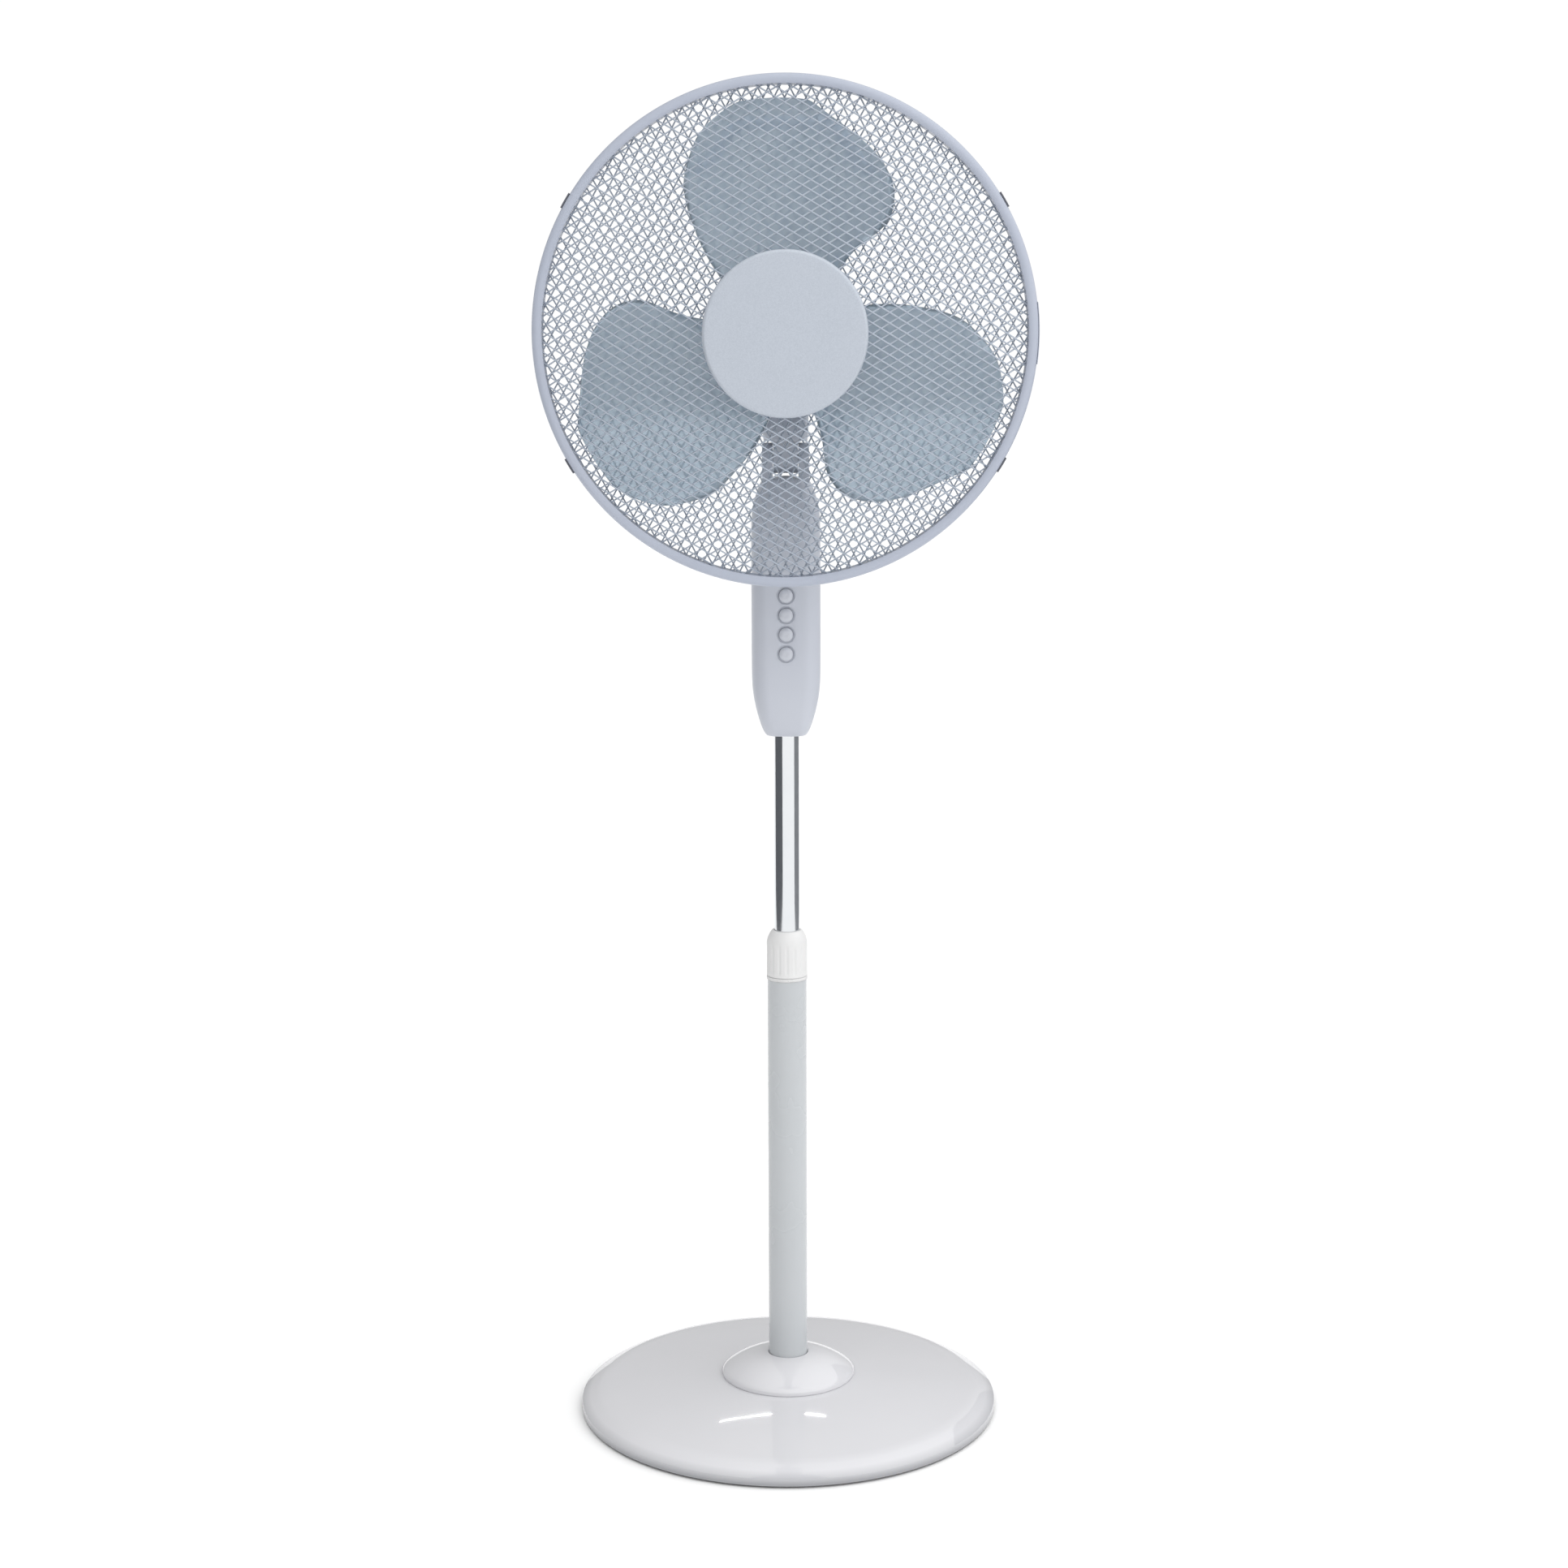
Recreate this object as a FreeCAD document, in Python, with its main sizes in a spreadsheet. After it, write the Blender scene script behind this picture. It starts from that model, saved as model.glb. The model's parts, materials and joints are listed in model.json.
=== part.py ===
"""Pedestal fan: weighted base, telescopic pole, push-button control box, tilting and oscillating head.

Row frame in millimetres: +Z up, +X to the right and the air blowing towards -Y, with the origin on the
floor under the pole's axis. Forward distances in the head are measured from the pole's axis towards -Y.
"""

import FreeCAD, Part
import math
import os
import re

import Sketcher

Vector = FreeCAD.Vector
Rotation = FreeCAD.Rotation
doc = FreeCAD.newDocument("pedestal_fan")
sheet = doc.addObject("Spreadsheet::Sheet", "dims")
sub_parts = []

# ---------------------------------------------------------------- how many of each

FOOT_COUNT = 6
PLATE_SCREW_COUNT = 6
FLANGE_SCREW_COUNT = 4
FLUTE_COUNT = 16
BUTTON_COUNT = 4
MOTOR_BOLT_COUNT = 4
HOUSING_SCREW_COUNT = 4
VENT_COUNT = 12
BLADE_COUNT = 3

# ---------------------------------------------------------------- driving dimensions

DIMENSIONS = {
    # fits
    "gap": 0.3,                  # between pieces that move past each other
    "running": 0.05,             # radial clearance of a shaft in its bush
    "sliding": 0.1,              # radial clearance of the telescopic tubes in their plastic guides
    # base
    "base_radius": 195, "foot_height": 3, "foot_radius": 8, "foot_circle": 176,
    "plate_thickness": 2, "cover_wall": 2.5, "rim_height": 5,
    "bevel_radius": 178, "bevel_height": 17, "deck_radius": 62, "deck_height": 30,
    "weight_radius": 155, "weight_thickness": 5, "plate_screw_circle": 140, "plate_screw_radius": 2,
    "plate_screw_reach": 6,
    # pole foot
    "flange_radius": 44, "flange_thickness": 3, "flange_screw_circle": 32, "flange_screw_radius": 3,
    "flange_collar": 2.5, "flange_collar_height": 8, "screw_reach": 18,
    "trim_radius": 62.3, "trim_height": 21, "trim_wall": 2, "trim_edge": 4,
    # telescopic pole
    "pole_radius": 18, "pole_wall": 1.2, "pole_top": 413, "tube_radius": 11.5, "tube_wall": 1,
    "tube_bottom": 262, "tube_top": 690, "guide_length": 28,
    # height lock
    "bushing_depth": 30, "bushing_flange": 3, "thread_length": 20, "thread_radius": 15.2,
    "nut_radius": 18.7, "nut_top": 459, "nut_shoulder": 12, "grip_length": 10, "flute_radius": 2.2,
    "flute_depth": 0.7,
    # control box
    "box_bottom": 640, "box_shoulder": 834, "box_top": 873, "box_half_width": 31.2, "box_front": 29,
    "box_back": 26, "box_wall": 2.5, "box_split": 6, "neck_half_width": 21, "neck_front": 19.5,
    "neck_back": 18.5, "neck_way_radius": 8, "shell_screw_x": 22, "shell_screw_radius": 1.6,
    "shell_screw_grip": 12, "shell_screw_sink": 3, "post_radius": 4.5,
    "button_lowest": 717.5, "button_pitch": 17.4, "button_radius": 6.3, "button_recess": 8,
    "recess_depth": 1.2, "button_proud": 3.5, "button_travel": 4, "stem_radius": 2.5, "switch_front": 14,
    "socket_wall": 3, "socket_rise": 9, "gland_height": 712, "gland_radius": 5.5, "gland_bore": 3.4,
    "clamp_height": 672, "clamp_screw_radius": 2.5, "clamp_head": 20,
    # tilt joint
    "tilt_height": 890, "ear_radius": 14, "barrel_half_width": 11, "tilt_bolt_radius": 4,
    "ear_sink": 4, "ear_sink_radius": 8, "neck_half": 20.5, "neck_bottom": 906, "neck_top": 931,
    # oscillation joint
    "head_height": 1000, "pivot_radius": 5, "bush_radius": 7, "bush_bottom": 909, "bush_rim": 1.5,
    "retaining_height": 920, "retaining_radius": 2, "lug_bottom": 936, "lug_top": 955, "lug_half_width": 10,
    "link_low": 932, "link_thickness": 3, "link_eye": 6, "link_pin_radius": 2.5, "link_pin_x": 13,
    "link_pin_y": 8, "crank_throw": 13,
    # motor
    "shaft_radius": 4, "bearing_radius": 8, "bearing_length": 10, "bell_radius": 44, "bell_rim": 38,
    "bell_wall": 3, "bell_parting": 0.25, "stator_radius": 40, "stator_half_length": 15,
    "rotor_radius": 22, "air_gap": 0.5, "coil_length": 12, "motor_bolt_circle": 42,
    "motor_bolt_radius": 1.5,
    # gear train
    "worm_front": 45, "worm_back": 63, "worm_turns": 8, "worm_module": 0.6, "worm_pitch_radius": 4,
    "wheel_teeth": 40,
    "wheel_width": 3, "train_module": 0.8, "pinion_teeth": 10, "crank_teeth": 50, "train_low": 978,
    "train_width": 6, "tooth_height": 0.8, "tooth_depth": 1.1, "tooth_root": 0.3, "tooth_tip": 0.11,
    "spindle_radius": 2.5, "wheel_x": 16, "wheel_y": 54, "arm_thickness": 3, "arm_radius": 5,
    "case_left": 24, "case_right": 32, "case_back": 96, "case_bottom": 968, "case_top": 1012,
    "case_wall": 2, "knob_stem": 3.5, "knob_radius": 7.5, "knob_height": 10,
    # motor housing
    "housing_radius": 60, "housing_back": 110, "housing_wall": 2.2, "front_plate": 4, "boss_radius": 19,
    "boss_reach": 57, "housing_screw_radius": 1.6, "housing_screw_inset": 5.5, "housing_post_radius": 4,
    "housing_post_length": 20, "screw_sink": 2, "vent_width": 3,
    # fan
    "blade_radius": 194.5, "blade_thickness": 1.8, "blade_middle": 105, "blade_depth": 56,
    "blade_washout": 0.25, "blade_camber": 4, "fan_hub_radius": 28, "fan_hub_back": 72,
    "fan_hub_front": 128, "hub_wall": 2.5, "hub_sleeve": 8, "drive_pin_radius": 1.5,
    "drive_pin_half": 12, "drive_pin_place": 78, "spinner_radius": 19, "spinner_front": 144,
    # guards
    "guard_radius": 215, "ring_width": 9, "ring_wall": 1.4, "ring_back": 96, "ring_front": 117,
    "wire_pitch": 7.4, "wire_pitch_rear": 7.9, "wire_width": 1.3, "wire_layer": 0.75, "layer_gap": 0.2,
    "front_wire_angle": 31, "rear_wire_angle": 61, "guard_back": 42, "guard_front": 174,
    "guard_plate_radius": 64, "guard_seat": 205, "guard_lip": 211, "dish_bulge": 8,
    "badge_radius": 68.5, "badge_thickness": 9, "clip_wall": 0.6, "clip_half": 26,
    "rim_clip_angle": 31, "rim_clip_length": 14, "rim_clip_wall": 1.2,
    # carrying handle on the rear guard
    "handle_radius": 5.5, "handle_half_top": 42, "handle_half_foot": 72, "handle_top": 180,
    "handle_foot": 138, "handle_reach": 22, "handle_foot_reach": 66,
}


def write_dimensions():
    for row, (name, size) in enumerate(DIMENSIONS.items(), start=1):
        sheet.set(f"A{row}", name)
        sheet.set(f"B{row}", str(size))
        sheet.setAlias(f"B{row}", name)
    doc.recompute()


def full(expression):
    """An expression with every dimension's name pointed at the sheet."""
    return re.sub(
        r"[a-z_]+", lambda word: ("dims." if word[0] in DIMENSIONS else "") + word[0], str(expression)
    )


def value(expression):
    """The number that an expression of dimension names gives, in millimetres or degrees."""
    result = sheet.evalExpression(full(expression))
    return float(getattr(result, "Value", result))


def bind(item, property_name, expression):
    item.setExpression(property_name, full(expression))


# ---------------------------------------------------------------- building blocks

AXES = {
    "up": Rotation(),
    "front": Rotation(Vector(1, 0, 0), 90),
    "back": Rotation(Vector(1, 0, 0), -90),
    "right": Rotation(Vector(0, 1, 0), 90),
    "left": Rotation(Vector(0, 1, 0), -90),
    "down": Rotation(Vector(1, 0, 0), 180),
}


def place(item, x="0", y="0", z="0", axis="up"):
    """Turns the object's own Z to an axis and binds its origin to the sheet."""
    item.Placement = FreeCAD.Placement(Vector(value(x), value(y), value(z)), AXES[axis])
    for letter, expression in (("x", x), ("y", y), ("z", z)):
        if expression != "0":
            bind(item, f"Placement.Base.{letter}", expression)
    return item


def cylinder(name, radius, height, x="0", y="0", z="0", axis="up"):
    item = doc.addObject("Part::Cylinder", name)
    bind(item, "Radius", radius)
    bind(item, "Height", height)
    return place(item, x, y, z, axis)


def block(name, x, y, z):
    """A box given by its (low, high) expressions along each axis."""
    item = doc.addObject("Part::Box", name)
    for side, (low, high) in zip(("Length", "Width", "Height"), (x, y, z)):
        bind(item, side, f"({high}) - ({low})")
    return place(item, x[0], y[0], z[0])


def union(name, shapes):
    item = doc.addObject("Part::MultiFuse", name)
    item.Shapes = shapes
    return item


def group(name, shapes):
    item = doc.addObject("Part::Compound", name)
    item.Links = shapes
    return item


def cut(name, base, tools):
    item = doc.addObject("Part::Cut", name)
    item.Base = base
    item.Tool = tools[0] if len(tools) == 1 else union(name + "_tools", tools)
    return item


def common(name, first, second):
    item = doc.addObject("Part::Common", name)
    item.Base = first
    item.Tool = second
    return item


def plane_of(body, role):
    return next(item for item in body.Origin.OriginFeatures if item.Role == role)


def pin_point(sketch, geometry, end, x, y):
    """Binds a sketch point to two expressions, measured from the sketch's origin."""
    for kind, expression in (("DistanceX", x), ("DistanceY", y)):
        held = sketch.addConstraint(
            Sketcher.Constraint(kind, -1, 1, geometry, end, value(expression))
        )
        bind(sketch, f"Constraints[{held}]", expression)


def arc_through(start, middle, end):
    """The sketch arc through three points, and which of its ends is the start."""
    circle = Part.Arc(start, middle, end).toShape().Curve
    centre = circle.Center
    turn = (middle - start).cross(end - middle).z
    first, last = (start, end) if turn > 0 else (end, start)
    angles = [math.atan2(p.y - centre.y, p.x - centre.x) for p in (first, last)]
    if angles[1] < angles[0]:
        angles[1] += 2 * math.pi
    arc = Part.ArcOfCircle(Part.Circle(centre, Vector(0, 0, 1), circle.Radius), *angles)
    return arc, (1, 2) if turn > 0 else (2, 1)


def draw_outline(sketch, points):
    """A closed outline of corners (x, y); an entry ("via", x, y) makes the stretch it lies on an arc."""
    corners = [i for i, point in enumerate(points) if point[0] != "via"]
    edges = []
    for n, i in enumerate(corners):
        j = corners[(n + 1) % len(corners)]
        via = points[i + 1] if (i + 1) % len(points) != j and i + 1 < len(points) else None
        start, end = (Vector(value(points[k][0]), value(points[k][1]), 0) for k in (i, j))
        if via:
            arc, ends = arc_through(start, Vector(value(via[1]), value(via[2]), 0), end)
            edge = sketch.addGeometry(arc, False)
        else:
            ends = (1, 2)
            edge = sketch.addGeometry(Part.LineSegment(start, end), False)
        edges.append((edge, ends, points[i], via))
    for n, (edge, ends, corner, via) in enumerate(edges):
        following, following_ends = edges[(n + 1) % len(edges)][:2]
        sketch.addConstraint(
            Sketcher.Constraint("Coincident", edge, ends[1], following, following_ends[0])
        )
        pin_point(sketch, edge, ends[0], corner[0], corner[1])
        if via:
            dot = sketch.addGeometry(Part.Point(Vector(value(via[1]), value(via[2]), 0)), True)
            pin_point(sketch, dot, 1, via[1], via[2])
            sketch.addConstraint(Sketcher.Constraint("PointOnObject", dot, 1, edge))


def outline_sketch(body, role, points):
    sketch = body.newObject("Sketcher::SketchObject", body.Name + "_outline")
    sketch.AttachmentSupport = [(plane_of(body, role), "")]
    sketch.MapMode = "FlatFace"
    draw_outline(sketch, points)
    return sketch


def turned(name, points, x="0", y="0", z="0", axis="up"):
    """A PartDesign body revolved about its own Z from an outline of (radius, height) points."""
    body = doc.addObject("PartDesign::Body", name)
    sketch = outline_sketch(body, "XZ_Plane", points)
    turn = body.newObject("PartDesign::Revolution", name + "_turn")
    turn.Profile = sketch
    turn.ReferenceAxis = (sketch, ["V_Axis"])
    turn.Angle = 360
    return place(body, x, y, z, axis)


def on_fan_axis(name, points):
    """A turned piece of the head: heights are distances in front of the pole's axis."""
    return turned(name, points, z="head_height", axis="front")


def ring(name, outer, inner, low, high, **where):
    """A turned ring of rectangular section."""
    return turned(name, [(inner, low), (outer, low), (outer, high), (inner, high)], **where)


def around(count, radius, first=0):
    """(x, y) expressions of points evenly spaced on a circle."""
    angles = [first + 360 * n / count for n in range(count)]
    return [(f"({radius}) * cos({a} deg)", f"({radius}) * sin({a} deg)") for a in angles]


def spoke(name, inner, length, width, back, depth, angle):
    """A bar in the head that points away from the fan's axis at an angle, seen from the front."""
    bar = doc.addObject("Part::Box", name)
    bind(bar, "Length", length)
    bind(bar, "Width", width)
    bind(bar, "Height", depth)
    x = f"({inner}) * cos({angle} deg) + ({width}) * 0.5 * sin({angle} deg)"
    z = f"({inner}) * sin({angle} deg) - ({width}) * 0.5 * cos({angle} deg)"
    place(bar, x, f"0 - ({back})", f"head_height + {z}", "front")
    bar.Placement.Rotation = AXES["front"] * Rotation(Vector(0, 0, 1), angle)
    return bar


def keep(label, item):
    """Registers a finished sub-part under the name that its file gets."""
    item.Label = label
    sub_parts.append((label, item))
    return item


def screw(name, head_radius, head_height, radius, length, x, y, z, axis):
    """A pan-head screw: own Z runs from its tip to its head, the origin is under the head."""
    points = [
        ("0", f"-({length})"), (radius, f"-({length})"), (radius, "0"), (head_radius, "0"),
        (head_radius, f"({head_height}) * 0.5"), ("via", f"({head_radius}) * 0.8", f"({head_height}) * 0.9"),
        (f"({head_radius}) * 0.4", head_height), ("0", head_height),
    ]
    return turned(name, points, x, y, z, axis)


# ---------------------------------------------------------------- base

def base_cover():
    outline = [
        ("pole_radius - 4", "deck_height - cover_wall"), ("deck_radius", "deck_height - cover_wall"),
        ("via", "(deck_radius + bevel_radius) * 0.5", "(deck_height + bevel_height) * 0.5 + 1 - cover_wall"),
        ("bevel_radius - 1", "bevel_height - cover_wall"),
        ("base_radius - cover_wall", "rim_height + 2 - cover_wall * 0.5"),
        ("base_radius - cover_wall", "foot_height - 1"), ("base_radius", "foot_height - 1"),
        ("base_radius", "rim_height + 3"), ("bevel_radius", "bevel_height"),
        ("via", "(deck_radius + bevel_radius) * 0.5", "(deck_height + bevel_height) * 0.5 + 1"),
        ("deck_radius", "deck_height"), ("pole_radius - 4", "deck_height"),
    ]
    cover = turned("cover_shell", outline)
    holes = [
        cylinder(f"cover_hole_{n}", "flange_screw_radius + gap", "cover_wall + 2", x, y,
                 "deck_height - cover_wall - 1")
        for n, (x, y) in enumerate(around(FLANGE_SCREW_COUNT, "flange_screw_circle", 45))
    ]
    keep("base_cover", cut("cover_drilled", cover, holes))


def base_weight():
    bottom = "foot_height + plate_thickness"
    outline = [
        ("pole_radius - 4", bottom), ("weight_radius", bottom),
        ("weight_radius", f"{bottom} + weight_thickness"),
        ("flange_radius + 6", f"{bottom} + weight_thickness"),
        ("flange_radius", "deck_height - cover_wall"), ("pole_radius - 4", "deck_height - cover_wall"),
    ]
    disc = turned("weight_disc", outline)
    taps = [
        cylinder(f"weight_tap_{n}", "flange_screw_radius", "screw_reach", x, y,
                 "deck_height + flange_thickness - screw_reach")
        for n, (x, y) in enumerate(around(FLANGE_SCREW_COUNT, "flange_screw_circle", 45))
    ]
    taps += [
        cylinder(f"weight_tap_low_{n}", "plate_screw_radius", "plate_screw_reach", x, y, "foot_height")
        for n, (x, y) in enumerate(around(PLATE_SCREW_COUNT, "plate_screw_circle", 30))
    ]
    keep("base_weight", cut("weight_tapped", disc, taps))


def base_bottom_plate():
    plate = ring("plate_disc", "base_radius - cover_wall - gap", "pole_radius - 4",
                 "foot_height", "foot_height + plate_thickness")
    holes = [
        cylinder(f"plate_hole_{n}", "plate_screw_radius + gap", "plate_thickness + 2", x, y,
                 "foot_height - 1")
        for n, (x, y) in enumerate(around(PLATE_SCREW_COUNT, "plate_screw_circle", 30))
    ]
    keep("base_bottom_plate", cut("plate_drilled", plate, holes))


def base_feet():
    feet = []
    for n, (x, y) in enumerate(around(FOOT_COUNT, "foot_circle")):
        outline = [
            ("0", "0"), ("foot_radius - 1", "0"), ("foot_radius", "1"), ("foot_radius", "foot_height"),
            ("0", "foot_height"),
        ]
        feet.append(turned(f"foot_{n}", outline, x, y))
    keep("base_feet", group("feet", feet))


def base_screws():
    screws = [
        screw(f"plate_screw_{n}", "plate_screw_radius * 2.2", "1.6", "plate_screw_radius",
              "plate_screw_reach", x, y, "foot_height", "down")
        for n, (x, y) in enumerate(around(PLATE_SCREW_COUNT, "plate_screw_circle", 30))
    ]
    keep("base_screws", group("plate_screws", screws))


def pole_flange():
    top = "deck_height + flange_thickness"
    outline = [
        ("pole_radius", "deck_height"), ("flange_radius", "deck_height"), ("flange_radius", top),
        ("pole_radius + flange_collar + 2", top), ("pole_radius + flange_collar", f"{top} + 2"),
        ("pole_radius + flange_collar", f"{top} + flange_collar_height"),
        ("pole_radius", f"{top} + flange_collar_height"),
    ]
    disc = turned("flange_disc", outline)
    holes = [
        cylinder(f"flange_hole_{n}", "flange_screw_radius + gap", "flange_thickness + 2", x, y,
                 "deck_height - 1")
        for n, (x, y) in enumerate(around(FLANGE_SCREW_COUNT, "flange_screw_circle", 45))
    ]
    keep("pole_flange", cut("flange_drilled", disc, holes))


def flange_screws():
    screws = [
        screw(f"flange_screw_{n}", "flange_screw_radius * 1.7", "flange_screw_radius", "flange_screw_radius",
              "screw_reach", x, y, "deck_height + flange_thickness", "up")
        for n, (x, y) in enumerate(around(FLANGE_SCREW_COUNT, "flange_screw_circle", 45))
    ]
    keep("flange_screws", group("flange_screw_set", screws))


def base_trim():
    top = "deck_height + trim_height"
    outline = [
        ("trim_radius - trim_wall", "deck_height"), ("trim_radius", "deck_height"),
        ("trim_radius", "deck_height + trim_edge"),
        ("via", "pole_radius + (trim_radius - pole_radius) * 0.55", "deck_height + trim_height * 0.74"),
        ("pole_radius + gap", top), ("pole_radius + gap", f"{top} - trim_wall"),
        ("via", "pole_radius + (trim_radius - pole_radius) * 0.53",
         "deck_height + trim_height * 0.74 - trim_wall"),
        ("trim_radius - trim_wall", "deck_height + trim_edge - trim_wall * 0.5"),
    ]
    keep("base_trim", turned("trim_dome", outline))


# ---------------------------------------------------------------- pole and height lock

def outer_pole():
    tube = ring("pole_tube", "pole_radius", "pole_radius - pole_wall", "deck_height", "pole_top")
    keep("outer_pole", tube)


def lock_bushing():
    bore = "tube_radius + sliding"
    outline = [
        (bore, "pole_top - bushing_depth"), ("pole_radius - pole_wall", "pole_top - bushing_depth"),
        ("pole_radius - pole_wall", "pole_top"), ("nut_radius", "pole_top"),
        ("nut_radius", "pole_top + bushing_flange"), ("thread_radius", "pole_top + bushing_flange"),
        ("thread_radius", "pole_top + bushing_flange + thread_length"),
        (bore, "pole_top + bushing_flange + thread_length"),
    ]
    keep("lock_bushing", turned("bushing", outline))


def grip_ring():
    low = "pole_top + bushing_flange + thread_length + gap"
    outline = [
        ("tube_radius + sliding", low), ("thread_radius - 1", low),
        ("thread_radius - 1", f"{low} + grip_length * 0.6"),
        ("tube_radius + 1.2", f"{low} + grip_length"), ("tube_radius + sliding", f"{low} + grip_length"),
    ]
    collet = turned("grip_collet", outline)
    slot = block("grip_slot", ("0", "nut_radius"), ("-0.8", "0.8"),
                 (f"{low} - 1", f"{low} + grip_length + 1"))
    keep("grip_ring", cut("grip_split", collet, [slot]))


def height_lock_nut():
    low = "pole_top + bushing_flange + gap"
    outline = [
        ("thread_radius + gap", low), ("nut_radius", low), ("nut_radius", "nut_top - nut_shoulder"),
        ("via", "nut_radius - 1.4", "nut_top - nut_shoulder * 0.5"),
        ("nut_radius - 5", "nut_top"), ("tube_radius + gap", "nut_top"),
        ("tube_radius + gap", "nut_top - 2"),
        ("thread_radius + gap", "pole_top + bushing_flange + thread_length + grip_length * 0.6 + gap * 2"),
    ]
    nut = turned("nut_body", outline)
    flutes = [
        cylinder(f"nut_flute_{n}", "flute_radius", "nut_top - nut_shoulder - pole_top - bushing_flange - 4",
                 x, y, "pole_top + bushing_flange + 3")
        for n, (x, y) in enumerate(around(FLUTE_COUNT, "nut_radius + flute_radius - flute_depth"))
    ]
    keep("height_lock_nut", cut("nut_fluted", nut, flutes))


def inner_pole():
    keep("inner_pole", ring("tube", "tube_radius", "tube_radius - tube_wall", "tube_bottom", "tube_top"))


def inner_pole_guide():
    guide = ring("guide", "pole_radius - pole_wall - sliding", "tube_radius", "tube_bottom",
                 "tube_bottom + guide_length")
    keep("inner_pole_guide", guide)


# ---------------------------------------------------------------- control box

# (height above the floor, half width, depth forwards, depth backwards, corner radius)
BOX_SECTIONS = [
    ("box_bottom", "box_half_width - 13.5", "box_front - 14", "box_back - 12", "8"),
    ("box_bottom + 3", "box_half_width - 11", "box_front - 10", "box_back - 9", "9"),
    ("box_bottom + 10", "box_half_width - 8.3", "box_front - 6.5", "box_back - 6", "10"),
    ("box_bottom + 28", "box_half_width - 3.2", "box_front - 1.5", "box_back - 1.5", "11"),
    ("box_bottom + 40", "box_half_width - 0.8", "box_front - 0.4", "box_back - 0.4", "11"),
    ("box_bottom + 54", "box_half_width", "box_front", "box_back", "11"),
    ("box_shoulder", "box_half_width", "box_front", "box_back", "11"),
    ("box_shoulder + 10", "box_half_width - 1", "box_front - 1", "box_back - 0.8", "11"),
    ("box_shoulder + 22", "box_half_width - 4", "box_front - 3.5", "box_back - 2.8", "10"),
    ("box_top", "neck_half_width", "neck_front", "neck_back", "9"),
]


def rounded_outline(half_width, front, back, corner):
    """A rounded rectangle, anticlockwise from its front left corner."""
    points = []
    for n, (side, end) in enumerate((("-", "-"), ("+", "-"), ("+", "+"), ("-", "+"))):
        reach = front if end == "-" else back
        along, across, middle = (
            (f"0 {side} (({half_width}) - ({corner}) * {share})", f"0 {end} (({reach}) - ({corner}) * {rest})")
            for share, rest in ((0, 1), (1, 0), (0.293, 0.293))
        )
        first, last = (along, across) if n % 2 == 0 else (across, along)
        points += [first, ("via", *middle), last]
    return points


def lofted(name, sections):
    """A PartDesign body lofted up through rounded rectangles."""
    body = doc.addObject("PartDesign::Body", name)
    sketches = []
    for n, (height, *outline) in enumerate(sections):
        sketch = body.newObject("Sketcher::SketchObject", f"{name}_section_{n}")
        sketch.AttachmentSupport = [(plane_of(body, "XY_Plane"), "")]
        sketch.MapMode = "FlatFace"
        sketch.AttachmentOffset = FreeCAD.Placement(Vector(0, 0, value(height)), Rotation())
        bind(sketch, "AttachmentOffset.Base.z", height)
        draw_outline(sketch, rounded_outline(*outline))
        sketches.append(sketch)
    loft = body.newObject("PartDesign::AdditiveLoft", name + "_loft")
    loft.Profile = sketches[0]
    loft.Sections = sketches[1:]
    loft.Ruled = True
    return body


def screw_places():
    """(x, z) of the four screws that join the halves of the control box."""
    heights = ("box_bottom + 62", "box_shoulder - 14")
    return [(f"0 {side} shell_screw_x", z) for side in "+-" for z in heights]


def button_heights():
    return [f"button_lowest + {n} * button_pitch" for n in range(BUTTON_COUNT)]


def box_hull(name, inset):
    """The box's outside, or its inside when drawn in by a wall."""
    sections = [
        (height, *(f"{reach} - {inset}" for reach in reaches), f"{corner} - {inset} * 0.8")
        for height, *reaches, corner in BOX_SECTIONS
    ]
    sections[0] = (f"box_bottom + {inset}", *sections[0][1:])
    sections[-1] = (f"box_top - {inset}", *sections[-1][1:])
    return lofted(name, sections)


def front_space(name):
    """The room of the box's front half."""
    return block(name, ("-2 * box_half_width", "2 * box_half_width"), ("-2 * box_front", "0 - box_split"),
                 ("box_bottom - 5", "box_shoulder + 14"))


def tube_way(name):
    """The hole in the box's floor that the inner tube goes up through."""
    return cylinder(name, "tube_radius + gap", "box_wall * 3", z="box_bottom - box_wall")


def control_front_shell(shell):
    posts = []
    bores = [tube_way("front_tube_way")]
    for n, (x, z) in enumerate(screw_places()):
        posts.append(cylinder(f"front_post_{n}", "post_radius", "box_front - box_split - 1.5", x,
                              "0 - box_split", z, "front"))
        bores.append(cylinder(f"front_tap_{n}", "shell_screw_radius", "shell_screw_grip", x,
                              "0 - box_split", z, "front"))
    for n, z in enumerate(button_heights()):
        bores.append(cylinder(f"button_hole_{n}", "button_radius + gap", "box_front", "0",
                              "0 - box_split", z, "front"))
        bores.append(cylinder(f"button_recess_{n}", "button_recess", "box_wall", "0",
                              "recess_depth - box_front", z, "front"))
    front = common("front_half", shell, front_space("front_room"))
    keep("control_front_shell", cut("front_bored", union("front_posted", [front] + posts), bores))


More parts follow.
